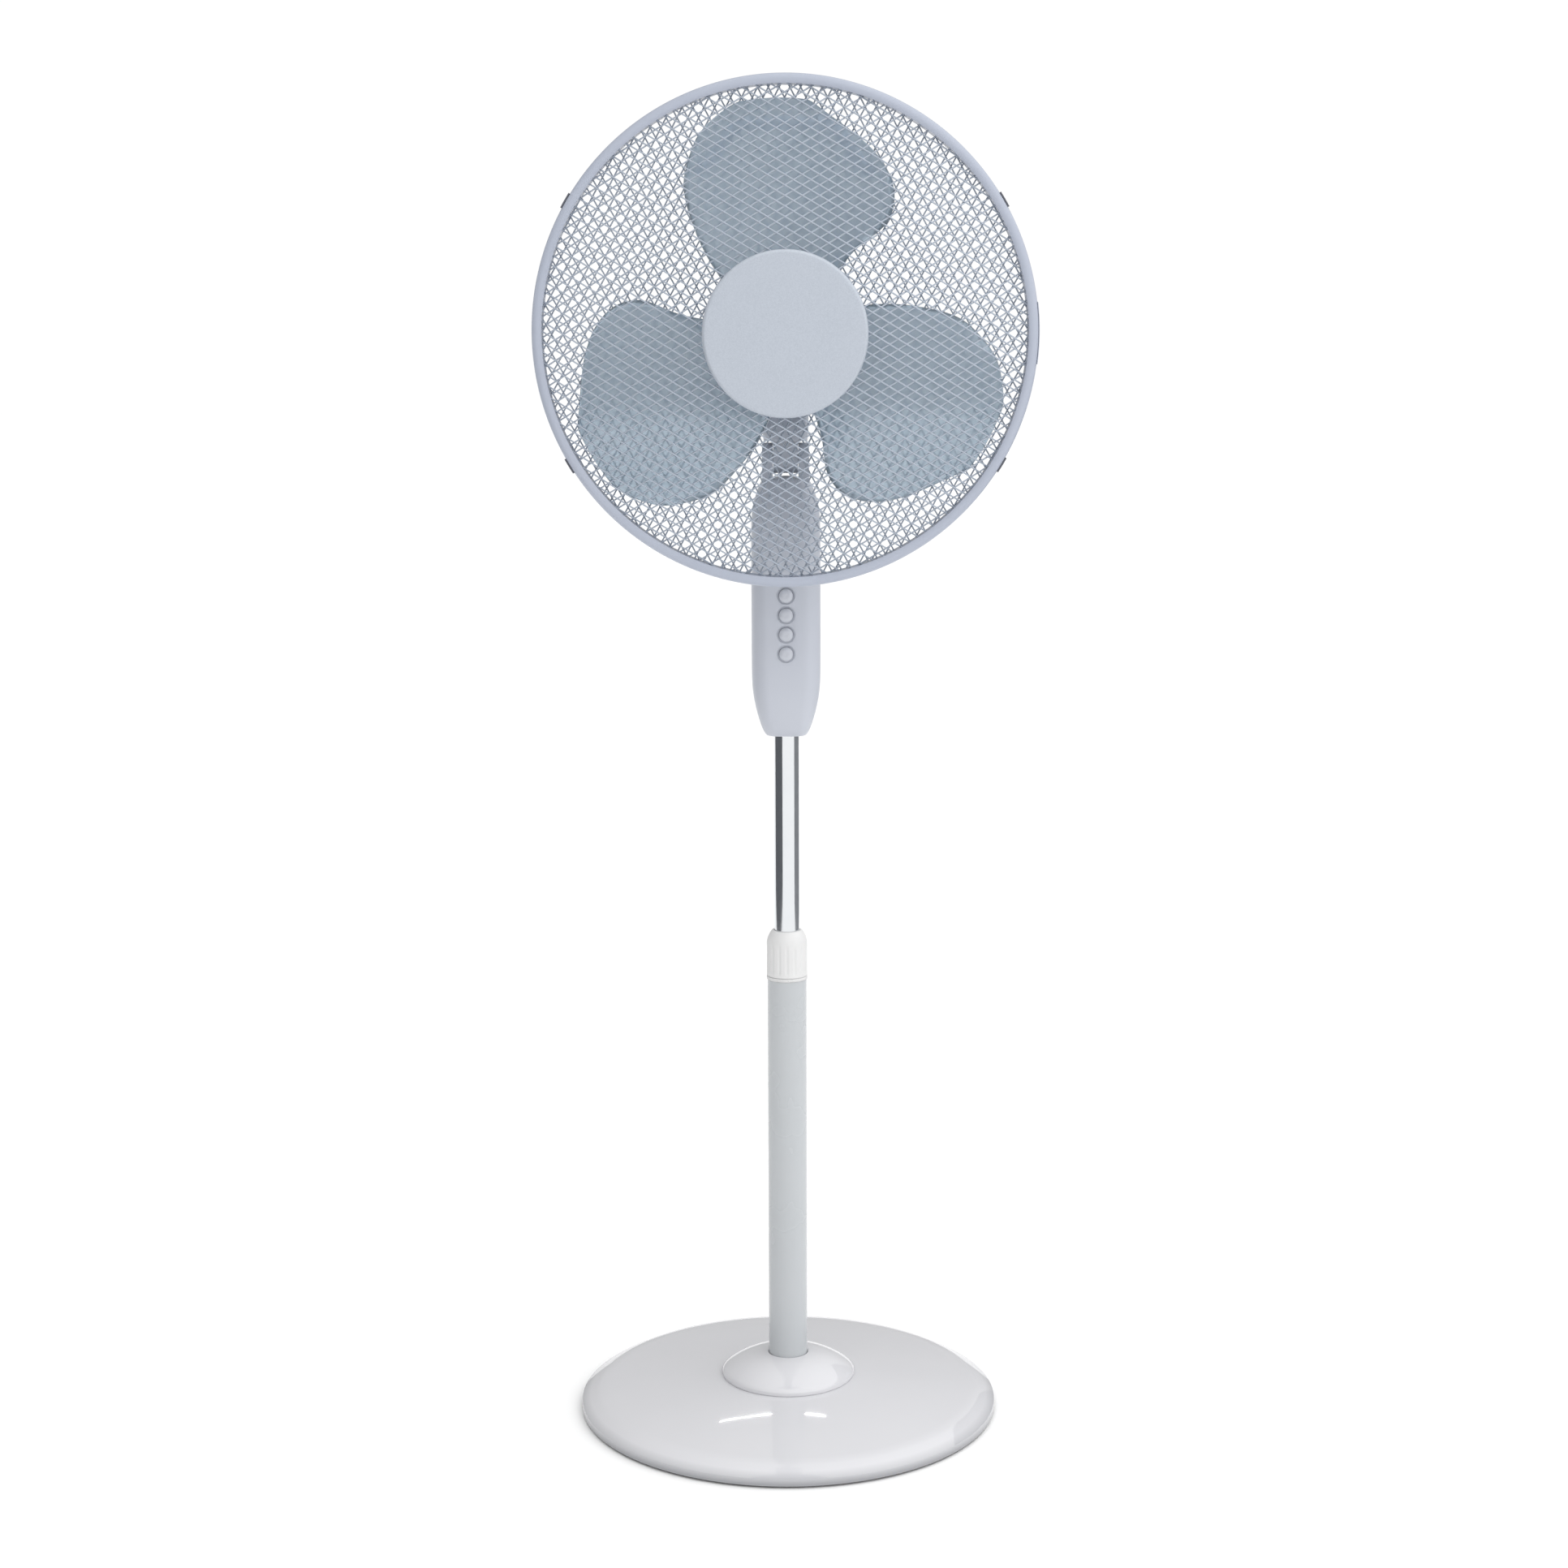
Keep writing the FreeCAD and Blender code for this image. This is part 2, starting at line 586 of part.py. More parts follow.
def ear_shapes():
    """The two ears on top of the box that hold the tilt bolt, and the sinks for its head and nut."""
    ears = []
    sinks = []
    for side, name in (("+", "right"), ("-", "left")):
        low, high = sorted((f"0 {side} (barrel_half_width + gap)", f"0 {side} neck_half_width"), key=value)
        ears.append(cylinder(f"ear_{name}", "ear_radius", f"{high} - ({low})", low, "0", "tilt_height",
                             "right"))
        ears.append(block(f"ear_root_{name}", (low, high), ("0 - ear_radius", "ear_radius"),
                          ("box_top - box_wall", "tilt_height")))
        low, high = sorted((f"0 {side} (neck_half_width - ear_sink)", f"0 {side} (neck_half_width + 5)"),
                           key=value)
        sinks.append(cylinder(f"ear_sink_{name}", "ear_sink_radius", f"{high} - ({low})", low, "0",
                              "tilt_height", "right"))
    return ears, sinks


def control_rear_shell(shell):
    posts = []
    ears, bores = ear_shapes()
    for n, (x, z) in enumerate(screw_places()):
        posts.append(cylinder(f"rear_post_{n}", "post_radius", "box_back + box_split - 1.5", x,
                              "0 - box_split", z, "back"))
        bores.append(cylinder(f"rear_bore_{n}", "shell_screw_radius + gap", "box_back * 2", x,
                              "0 - box_split", z, "back"))
        bores.append(cylinder(f"rear_sink_{n}", "shell_screw_radius * 2.2", "box_back", x,
                              "box_back - shell_screw_sink", z, "back"))
    bores.append(tube_way("rear_tube_way"))
    bores.append(cylinder("neck_way", "neck_way_radius", "box_wall * 3", z="box_top - box_wall * 2"))
    bores.append(cylinder("gland_hole", "gland_radius", "box_back", "0", "box_back * 0.5", "gland_height",
                          "back"))
    bores.append(cylinder("clamp_way", "clamp_screw_radius + gap", "box_back * 2", "0", "tube_radius",
                          "clamp_height", "back"))
    bores.append(cylinder("clamp_sink", "clamp_screw_radius * 2.2", "box_back", "0", "clamp_head",
                          "clamp_height", "back"))
    bores.append(cylinder("ear_hole", "tilt_bolt_radius", "4 * neck_half_width", "-2 * neck_half_width",
                          "0", "tilt_height", "right"))
    rear = cut("rear_half", shell, [front_space("rear_room")])
    keep("control_rear_shell", cut("rear_bored", union("rear_posted", [rear] + posts + ears), bores))


def control_shells():
    shell = cut("box_shell", box_hull("box_outside", "0"), [box_hull("box_inside", "box_wall")])
    control_front_shell(shell)
    control_rear_shell(shell)


def shell_screws():
    screws = [
        screw(f"shell_screw_{n}", "shell_screw_radius * 2", "shell_screw_radius", "shell_screw_radius",
              "box_back - shell_screw_sink + box_split + shell_screw_grip", x,
              "box_back - shell_screw_sink", z, "back")
        for n, (x, z) in enumerate(screw_places())
    ]
    keep("shell_screws", group("shell_screw_set", screws))


def pole_socket():
    """Sits on the inner tube's top and takes the screw that holds the box, in the taper of its lower end."""
    low = "box_bottom + socket_rise"
    outside = "tube_radius + socket_wall"
    sleeve = turned("socket_sleeve", [
        ("tube_radius", low), (f"{outside} + 1", low), (outside, f"{low} + 4"),
        (outside, "tube_top + 3"), ("tube_radius - 4", "tube_top + 3"), ("tube_radius - 4", "tube_top"),
        ("tube_radius", "tube_top"),
    ])
    tap = cylinder("socket_tap", "clamp_screw_radius", "tube_radius * 2", "0", "tube_radius", "clamp_height",
                   "back")
    keep("pole_socket", cut("socket_tapped", sleeve, [tap]))


def pole_clamp_screw():
    keep("pole_clamp_screw", screw("clamp_screw", "clamp_screw_radius * 2", "clamp_screw_radius",
                                   "clamp_screw_radius", "clamp_head - tube_radius", "0", "clamp_head",
                                   "clamp_height", "back"))


def switch_block():
    body = block("switch_body", ("-11", "11"), ("0 - switch_front", "6 - box_split"),
                 ("button_lowest - button_pitch * 0.7", "button_lowest + button_pitch * 3.7"))
    bores = [
        cylinder(f"switch_bore_{n}", "stem_radius + gap", "button_travel + 3", "0",
                 "button_travel + 3 - switch_front", z, "front")
        for n, z in enumerate(button_heights())
    ]
    keep("switch_block", cut("switch_bored", body, bores))


def capacitor():
    keep("capacitor", block("capacitor_body", ("-15", "15"), ("-11", "4"),
                            ("box_shoulder - 36", "box_shoulder - 2")))


def cord_gland():
    outline = [
        ("gland_bore", "0 - box_wall * 2"), ("gland_radius", "0 - box_wall * 2"), ("gland_radius", "0"),
        ("gland_radius + 2", "0"), ("gland_radius + 1", "4"), ("gland_bore", "4"),
    ]
    keep("cord_gland", turned("gland", outline, "0", "box_back", "gland_height", "back"))


def speed_buttons():
    skirt = "box_front - box_wall - button_travel - 1"
    for n, (z, name) in enumerate(zip(button_heights(), ("high", "middle", "low", "off"))):
        outline = [
            ("0", "switch_front - 1"), ("stem_radius", "switch_front - 1"), ("stem_radius", skirt),
            ("button_radius", skirt), ("button_radius", "box_front + button_proud - 2.2"),
            ("via", "button_radius * 0.78", "box_front + button_proud - 0.6"),
            ("button_radius * 0.3", "box_front + button_proud"), ("0", "box_front + button_proud"),
        ]
        keep(f"speed_button_{name}", turned(f"button_{n}", outline, z=z, axis="front"))


# ---------------------------------------------------------------- tilt and oscillation

def tilt_bolt():
    keep("tilt_bolt", screw("bolt", "ear_sink_radius - 1", "ear_sink - 0.5", "tilt_bolt_radius",
                            "2 * neck_half_width - ear_sink - 1", "neck_half_width - ear_sink", "0",
                            "tilt_height", "right"))


def tilt_nut():
    keep("tilt_nut", ring("tilt_nut_ring", "ear_sink_radius - 1", "tilt_bolt_radius", "0", "ear_sink - 1",
                          x="ear_sink - neck_half_width", z="tilt_height", axis="left"))


def tilt_bracket():
    """A barrel on the tilt bolt and the neck above it, bored for the oscillation bush."""
    barrel = cylinder("barrel", "ear_radius - 1", "2 * barrel_half_width", "0 - barrel_half_width", "0",
                      "tilt_height", "right")
    web = block("barrel_web", ("0 - barrel_half_width", "barrel_half_width"),
                ("1 - ear_radius", "ear_radius - 1"), ("tilt_height", "neck_bottom + 2"))
    neck = lofted("neck_block", [
        ("neck_bottom", "neck_half - 1", "neck_front - 2", "neck_back - 2", "8"),
        ("neck_bottom + 8", "neck_half", "neck_front - 1", "neck_back - 1", "8"),
        ("neck_top", "neck_half", "neck_front - 1", "neck_back - 1", "8"),
    ])
    bores = [
        cylinder("barrel_bore", "tilt_bolt_radius + running", "4 * barrel_half_width",
                 "-2 * barrel_half_width", "0", "tilt_height", "right"),
        cylinder("bush_bore", "bush_radius", "neck_top - bush_bottom + 1", z="bush_bottom"),
        cylinder("retaining_tap", "retaining_radius", "2 * neck_back", "0", "pivot_radius - 1",
                 "retaining_height", "back"),
    ]
    pin = cylinder("link_pin", "link_pin_radius", "link_low + link_thickness - neck_top + 3.5",
                   "link_pin_x", "link_pin_y", "neck_top - 3")
    bored = cut("bracket_bored", union("bracket_body", [barrel, web, neck]), bores)
    keep("tilt_bracket", union("bracket_pinned", [bored, pin]))


def pivot_bush():
    bush = turned("bush", [
        ("pivot_radius + running", "bush_bottom"), ("bush_radius", "bush_bottom"),
        ("bush_radius", "neck_top"), ("bush_radius + bush_rim", "neck_top"),
        ("bush_radius + bush_rim", "lug_bottom - gap"), ("pivot_radius + running", "lug_bottom - gap"),
    ])
    way = cylinder("bush_way", "retaining_radius", "2 * bush_radius", "0", "pivot_radius - 1",
                   "retaining_height", "back")
    keep("pivot_bush", cut("bush_drilled", bush, [way]))


def pivot_shaft():
    """Fixed in the motor's lug and grooved for the screw that holds it down in the neck."""
    keep("pivot_shaft", turned("pivot", [
        ("0", "bush_bottom + gap"), ("pivot_radius", "bush_bottom + gap"),
        ("pivot_radius", "retaining_height - retaining_radius - gap"),
        ("pivot_radius - 1.5", "retaining_height - retaining_radius - gap"),
        ("pivot_radius - 1.5", "retaining_height + retaining_radius + gap"),
        ("pivot_radius", "retaining_height + retaining_radius + gap"), ("pivot_radius", "lug_top - 2"),
        ("0", "lug_top - 2"),
    ]))


def pivot_retaining_screw():
    keep("pivot_retaining_screw", screw("retaining_screw", "retaining_radius * 1.8", "retaining_radius",
                                        "retaining_radius", "neck_back - pivot_radius + 0.5 - gap", "0",
                                        "neck_back - 1", "retaining_height", "back"))


CRANK_Y = "(wheel_y + sqrt((train_module * (pinion_teeth + crank_teeth) * 0.5) ^ 2 - wheel_x ^ 2))"
LINK_LENGTH = f"sqrt(({CRANK_Y} - link_pin_y) ^ 2 + (crank_throw - link_pin_x) ^ 2)"


def link_rod():
    """Joins the pin on the neck to the crank under the gearbox, and so turns the head about its pivot."""
    eyes = [
        cylinder("link_eye_near", "link_eye", "link_thickness", "link_pin_x", "link_pin_y", "link_low"),
        cylinder("link_eye_far", "link_eye", "link_thickness", "crank_throw", CRANK_Y, "link_low"),
    ]
    angle = f"atan2({CRANK_Y} - link_pin_y; crank_throw - link_pin_x)"
    bar = doc.addObject("Part::Box", "link_bar")
    bind(bar, "Length", LINK_LENGTH)
    bind(bar, "Width", "link_eye")
    bind(bar, "Height", "link_thickness")
    place(bar, f"link_pin_x + link_eye * 0.5 * sin({angle})", f"link_pin_y - link_eye * 0.5 * cos({angle})",
          "link_low")
    bar.Placement.Rotation = Rotation(Vector(0, 0, 1), value(angle))
    bind(bar, "Placement.Rotation.Angle", angle)
    hole = cylinder("link_hole", "link_pin_radius + running", "4 * link_thickness", "link_pin_x",
                    "link_pin_y", "link_low - link_thickness")
    keep("link_rod", cut("link_bored", union("link_body", eyes + [bar]), [hole]))


# ---------------------------------------------------------------- motor

def bell(name, sign):
    """One drawn cup of the motor, open towards the motor's middle."""
    outline = [
        ("bearing_radius", f"0 {sign} bell_rim"), ("bell_radius - 4", f"0 {sign} bell_rim"),
        ("via", "bell_radius - 1.2", f"0 {sign} (bell_rim - 1.2)"),
        ("bell_radius", f"0 {sign} (bell_rim - 4)"), ("bell_radius", f"0 {sign} bell_parting"),
        ("stator_radius", f"0 {sign} bell_parting"), ("stator_radius", f"0 {sign} (bell_rim - bell_wall)"),
        ("bearing_radius + 3", f"0 {sign} (bell_rim - bell_wall)"),
        ("bearing_radius + 3", f"0 {sign} (bell_rim - bearing_length)"),
        ("bearing_radius", f"0 {sign} (bell_rim - bearing_length)"),
    ]
    return on_fan_axis(name, outline)


def motor_bolt_holes(name):
    return [
        cylinder(f"{name}_bolt_hole_{n}", "motor_bolt_radius", "4 * bell_rim", x, "2 * bell_rim",
                 f"head_height + {z}", "front")
        for n, (x, z) in enumerate(around(MOTOR_BOLT_COUNT, "motor_bolt_circle", 45))
    ]


def motor_front_bell():
    cup = bell("front_bell", "+")
    keep("motor_front_bell", cut("front_bell_drilled", cup, motor_bolt_holes("front_bell")))


def motor_rear_bell():
    """The rear cup carries the lug that stands on the oscillation pivot."""
    lug = block("lug", ("0 - lug_half_width", "lug_half_width"),
                ("1 - lug_half_width", "lug_half_width - 1"), ("lug_bottom", "lug_top"))
    root = block("lug_root", ("0 - lug_half_width", "lug_half_width"), ("gap", "lug_half_width - 1"),
                 ("lug_top - 1", "head_height - stator_radius - 1"))
    body = union("rear_bell_lugged", [bell("rear_bell", "-"), lug, root])
    bores = motor_bolt_holes("rear_bell")
    bores.append(cylinder("lug_bore", "pivot_radius", "lug_top - lug_bottom - 2", z="lug_bottom"))
    keep("motor_rear_bell", cut("rear_bell_drilled", body, bores))


def motor_bolts():
    bolts = [
        screw(f"motor_bolt_{n}", "motor_bolt_radius * 2", "motor_bolt_radius", "motor_bolt_radius",
              "2 * bell_rim + front_plate - 4", x, "screw_sink - bell_rim - front_plate",
              f"head_height + {z}", "front")
        for n, (x, z) in enumerate(around(MOTOR_BOLT_COUNT, "motor_bolt_circle", 45))
    ]
    keep("motor_bolts", group("motor_bolt_set", bolts))


def stator_core():
    keep("stator_core", on_fan_axis("core", [
        ("rotor_radius + air_gap", "0 - stator_half_length"), ("stator_radius", "0 - stator_half_length"),
        ("stator_radius", "stator_half_length"), ("rotor_radius + air_gap", "stator_half_length"),
    ]))


def stator_coils():
    coils = []
    for sign, name in (("+", "front"), ("-", "rear")):
        low, high = f"0 {sign} stator_half_length", f"0 {sign} (stator_half_length + coil_length)"
        middle = f"0 {sign} (stator_half_length + coil_length * 0.7)"
        coils.append(on_fan_axis(f"coil_{name}", [
            ("rotor_radius + 3", low), ("stator_radius - 3", low), ("stator_radius - 3", middle),
            ("via", "(rotor_radius + stator_radius) * 0.5", high), ("rotor_radius + 3", middle),
        ]))
    keep("stator_coils", group("coil_pair", coils))


def motor_bearings():
    bearings = []
    for sign, name in (("+", "front"), ("-", "rear")):
        low, high = f"0 {sign} (bell_rim - bearing_length)", f"0 {sign} bell_rim"
        bearings.append(on_fan_axis(f"bearing_{name}", [
            ("shaft_radius + running", low), ("bearing_radius", low), ("bearing_radius", high),
            ("shaft_radius + running", high),
        ]))
    keep("motor_bearings", group("bearing_pair", bearings))


def rotor_core():
    keep("rotor_core", on_fan_axis("rotor", [
        ("shaft_radius", "0 - stator_half_length"), ("rotor_radius", "0 - stator_half_length"),
        ("rotor_radius", "stator_half_length"), ("shaft_radius", "stator_half_length"),
    ]))


def worm_thread():
    """The worm's helical ridge, which passes the wheel's side at the wheel's own height along the shaft."""
    lead = value("worm_module") * math.pi
    root, tip = (lead * value(share) for share in ("tooth_root", "tooth_tip"))
    core = value("worm_pitch_radius - worm_module * tooth_depth")
    crest = value("worm_pitch_radius + worm_module * tooth_height")
    inside = core - value("gap")
    corners = [
        Vector(radius, 0, height)
        for radius, height in ((inside, -root), (crest, -tip), (crest, tip), (inside, root))
    ]
    turns = int(value("worm_turns"))
    sweep = Part.BRepOffsetAPI.MakePipeShell(Part.Wire(Part.makeHelix(lead, turns * lead, core, 0).Edges))
    sweep.setFrenetMode(True)
    sweep.add(Part.makePolygon(corners + corners[:1]))
    sweep.build()
    sweep.makeSolid()
    item = doc.addObject("Part::Feature", "thread")
    item.Shape = sweep.shape()
    return place(item, "0", "wheel_y + worm_turns * 0.5 * worm_module * pi", "head_height", "front")


def motor_shaft():
    """Runs from the worm in the gearbox to the thread of the spinner."""
    core = "worm_pitch_radius - worm_module * tooth_depth"
    shaft = on_fan_axis("shaft", [
        ("0", "0 - worm_back"), (core, "0 - worm_back"), (core, "0 - worm_front"),
        ("shaft_radius", "0 - worm_front"), ("shaft_radius", "fan_hub_front + 8"),
        ("0", "fan_hub_front + 8"),
    ])
    way = cylinder("drive_pin_way", "drive_pin_radius", "4 * shaft_radius", "-2 * shaft_radius",
                   "0 - drive_pin_place", "head_height", "right")
    keep("motor_shaft", cut("shaft_drilled", union("shaft_threaded", [shaft, worm_thread()]), [way]))


def drive_pin():
    keep("drive_pin", cylinder("cross_pin", "drive_pin_radius", "2 * drive_pin_half", "0 - drive_pin_half",
                               "0 - drive_pin_place", "head_height", "right"))


# ---------------------------------------------------------------- gear train of the oscillation

def gear(name, teeth, module, low, width, x, y, first):
    """A spur gear about Z with a tooth centred on the angle that first gives, in degrees."""
    count = int(value(teeth))
    size, pitch = value(module), 2 * math.pi / count
    root = size * (count / 2 - value("tooth_depth"))
    tip = size * (count / 2 + value("tooth_height"))
    points = []
    for n in range(count):
        middle = math.radians(value(first)) + n * pitch
        for radius, share in ((root, -value("tooth_root")), (tip, -value("tooth_tip")),
                              (tip, value("tooth_tip")), (root, value("tooth_root"))):
            angle = middle + share * pitch
            points.append(Vector(radius * math.cos(angle), radius * math.sin(angle), 0))
    face = Part.Face(Part.makePolygon(points + points[:1]))
    item = doc.addObject("Part::Feature", name)
    item.Shape = face.extrude(Vector(0, 0, value(width)))
    return place(item, x, y, low)


def worm_wheel():
    """The wheel on the worm, and below it on the same spindle the pinion that drives the crank."""
    mesh_angle = f"(atan2({CRANK_Y} - wheel_y; 0 - wheel_x) / (1 deg))"
    parts = [
        gear("wheel", "wheel_teeth", "worm_module", "head_height - wheel_width * 0.5", "wheel_width",
             "wheel_x", "wheel_y", "180 + 180 / wheel_teeth"),
        gear("pinion", "pinion_teeth", "train_module", "train_low", "train_width", "wheel_x", "wheel_y",
             mesh_angle),
        cylinder("wheel_spindle", "spindle_radius", "case_top + 14 - case_bottom - case_wall - gap",
                 "wheel_x", "wheel_y", "case_bottom + case_wall + gap"),
    ]
    keep("worm_wheel", union("wheel_spindled", parts))


def crank():
    """The large gear, its spindle and the arm under the housing."""
    mesh_angle = f"(atan2({CRANK_Y} - wheel_y; 0 - wheel_x) / (1 deg))"
    arm_low = "link_low + link_thickness + gap"
    parts = [
        gear("crank_wheel", "crank_teeth", "train_module", "train_low", "train_width", "0", CRANK_Y,
             f"{mesh_angle} + 180 + 180 / crank_teeth"),
        cylinder("crank_spindle", "spindle_radius", f"train_low + train_width - ({arm_low})", "0", CRANK_Y,
                 arm_low),
        cylinder("arm_root", "arm_radius", "arm_thickness", "0", CRANK_Y, arm_low),
        cylinder("arm_end", "arm_radius", "arm_thickness", "crank_throw", CRANK_Y, arm_low),
        block("arm_web", ("0", "crank_throw"), (f"{CRANK_Y} - arm_radius", f"{CRANK_Y} + arm_radius"),
              (arm_low, f"{arm_low} + arm_thickness")),
    ]
    keep("oscillation_crank", union("crank_body", parts))


def gearbox_case():
    outside = block("case_outside", ("0 - case_left", "case_right"), ("bell_rim", "case_back"),
                    ("case_bottom", "case_top"))
    inside = block("case_inside", ("case_wall - case_left", "case_right - case_wall"),
                   ("bell_rim + case_wall", "case_back - case_wall"),
                   ("case_bottom + case_wall", "case_top - case_wall"))
    ways = [
        cylinder("case_shaft_way", "shaft_radius + gap", "case_wall * 3", "0", "bell_rim + case_wall * 2",
                 "head_height", "front"),
        cylinder("case_crank_way", "spindle_radius + running", "case_wall * 3", "0", CRANK_Y,
                 "case_bottom - case_wall"),
        cylinder("case_wheel_way", "spindle_radius + running", "case_wall * 3", "wheel_x", "wheel_y",
                 "case_top - case_wall * 2"),
    ]
    keep("gearbox_case", cut("case_hollow", outside, [inside] + ways))


def oscillation_knob():
    """Pulled up to stop the head swinging."""
    seat = "head_height + housing_radius + 1"
    keep("oscillation_knob", turned("knob", [
        ("0", "case_top + 14 + gap"), ("knob_stem", "case_top + 14 + gap"), ("knob_stem", seat),
        ("knob_radius", seat), ("knob_radius", f"{seat} + knob_height * 0.7"),
        ("via", "knob_radius * 0.85", f"{seat} + knob_height * 0.92"),
        ("knob_radius * 0.4", f"{seat} + knob_height"), ("0", f"{seat} + knob_height"),
    ], "wheel_x", "wheel_y"))


# ---------------------------------------------------------------- motor housing

def housing_screw_places():
    """(x, z) of the screws that hold the rear housing to the front plate."""
    return around(HOUSING_SCREW_COUNT, "housing_radius - housing_screw_inset")


def motor_rear_housing():
    wall = "housing_wall"
    shell = on_fan_axis("housing", [
        ("0", "0 - housing_back"), ("housing_radius * 0.5", "0 - housing_back"),
        ("via", "housing_radius * 0.87", "10 - housing_back"),
        ("housing_radius", "36 - housing_back"), ("housing_radius", "bell_rim"),
        (f"housing_radius - {wall}", "bell_rim"), (f"housing_radius - {wall}", "36 - housing_back"),
        ("via", f"housing_radius * 0.87 - {wall} * 0.72", f"10 - housing_back + {wall} * 0.72"),
        ("housing_radius * 0.5", f"{wall} - housing_back"), ("0", f"{wall} - housing_back"),
    ])
    ways = [
        block("lug_way", ("0 - lug_half_width - 1", "lug_half_width + 1"),
              ("0 - lug_half_width", "lug_half_width"), ("lug_bottom - 5", "lug_top + 1")),
        cylinder("crank_way", "spindle_radius + 1", "housing_radius * 0.5", "0", CRANK_Y, "lug_bottom - 5"),
        cylinder("knob_way", "knob_stem + gap", "housing_radius", "wheel_x", "wheel_y", "case_top + 20"),
    ]
    for n in range(VENT_COUNT):
        ways.append(spoke(f"vent_{n}", "housing_radius * 0.2", "housing_radius * 0.42", "vent_width",
                          "0 - housing_back - housing_wall", "4 * housing_wall", 360 * (n + 0.5) / VENT_COUNT))
    posts = []
    for n, (x, z) in enumerate(housing_screw_places()):
        posts.append(cylinder(f"housing_post_{n}", "housing_post_radius", "housing_post_length", x,
                              "housing_post_length - bell_rim", f"head_height + {z}", "front"))
        ways.append(cylinder(f"housing_tap_{n}", "housing_screw_radius", "housing_post_length * 0.7", x,
                             "housing_post_length * 0.6 - bell_rim", f"head_height + {z}", "front"))
    keep("motor_rear_housing", cut("housing_open", union("housing_posted", [shell] + posts), ways))


def motor_front_plate():
    front = "bell_rim + front_plate"
    plate = on_fan_axis("plate", [
        ("bearing_radius - 2", "bell_rim"), ("housing_radius", "bell_rim"), ("housing_radius", front),
        ("boss_radius", front), ("boss_radius", "boss_reach"), ("bearing_radius - 2", "boss_reach"),
    ])
    holes = motor_bolt_holes("plate")
    for n, (x, z) in enumerate(housing_screw_places()):
        holes.append(cylinder(f"plate_screw_hole_{n}", "housing_screw_radius", "4 * front_plate", x,
                              "0 - bell_rim + front_plate", f"head_height + {z}", "front"))
    bolts = around(MOTOR_BOLT_COUNT, "motor_bolt_circle", 45)
    for n, (x, z) in enumerate(housing_screw_places() + bolts):
        holes.append(cylinder(f"plate_sink_{n}", "housing_screw_radius * 1.9 + gap", "2 * screw_sink", x,
                              "screw_sink - bell_rim - front_plate", f"head_height + {z}", "front"))
    keep("motor_front_plate", cut("plate_bored", plate, holes))


def housing_screws():
    screws = [
        screw(f"housing_screw_{n}", "housing_screw_radius * 1.9", "housing_screw_radius",
              "housing_screw_radius", "front_plate + 6", x, "screw_sink - bell_rim - front_plate",
              f"head_height + {z}", "front")
        for n, (x, z) in enumerate(housing_screw_places())
    ]
    keep("housing_screws", group("housing_screw_set", screws))


# ---------------------------------------------------------------- fan

# (share of the blade's radius, trailing edge's angle, leading edge's angle), seen from the front
BLADE_ROWS = [
    (0.13, 150, 56), (0.25, 146, 53), (0.37, 139, 50), (0.51, 134, 49), (0.65, 129, 47), (0.775, 124, 52),
    (0.85, 119, 60), (0.905, 115, 70), (0.965, 108, 80), (1, 100, 85),
]
BLADE_MIDDLE_ANGLE = 92
BLADE_SPAN_ANGLE = 85
BLADE_COLUMNS = 9


def blade_point(share, trailing, leading, column, offset):
    """A point of the blade's middle surface moved off it by the offset, in the fan's own frame."""
    across = column / (BLADE_COLUMNS - 1)
    degrees = trailing + (leading - trailing) * across
    radius = share * value("blade_radius")
    rise = value("blade_depth") * (1 - share * value("blade_washout")) / BLADE_SPAN_ANGLE
    camber = value("blade_camber") * (1 - (2 * across - 1) ** 2) * min(1, share * 3)
    depth = value("blade_middle") + rise * (degrees - BLADE_MIDDLE_ANGLE) + camber
    angle = math.radians(degrees)
    slope = rise * 180 / math.pi / radius
    normal = Vector(math.sin(angle) * slope, -math.cos(angle) * slope, 1).normalize()
    return Vector(radius * math.cos(angle), radius * math.sin(angle), depth) + normal * offset


def blade_face(offset):
    face = Part.BSplineSurface()
    face.interpolate([
        [blade_point(*row, column, offset) for column in range(BLADE_COLUMNS)] for row in BLADE_ROWS
    ])
    return face


def blade_shape():
    """A blade closed from its two faces and the strips that join their four edges."""
    faces = [blade_face(side * value("blade_thickness") / 2) for side in (1, -1)]
    edges = []
    for face in faces:
        first_u, last_u, first_v, last_v = face.bounds()
        edges.append([curve.toShape() for curve in (face.uIso(first_u), face.uIso(last_u),
                                                    face.vIso(first_v), face.vIso(last_v))])
    strips = [Part.makeRuledSurface(top, bottom) for top, bottom in zip(*edges)]
    shell = Part.makeShell([face.toShape() for face in faces] + strips)
    shell.sewShape()
    blade = Part.makeSolid(shell)
    if blade.Volume < 0:
        blade.reverse()
    return blade


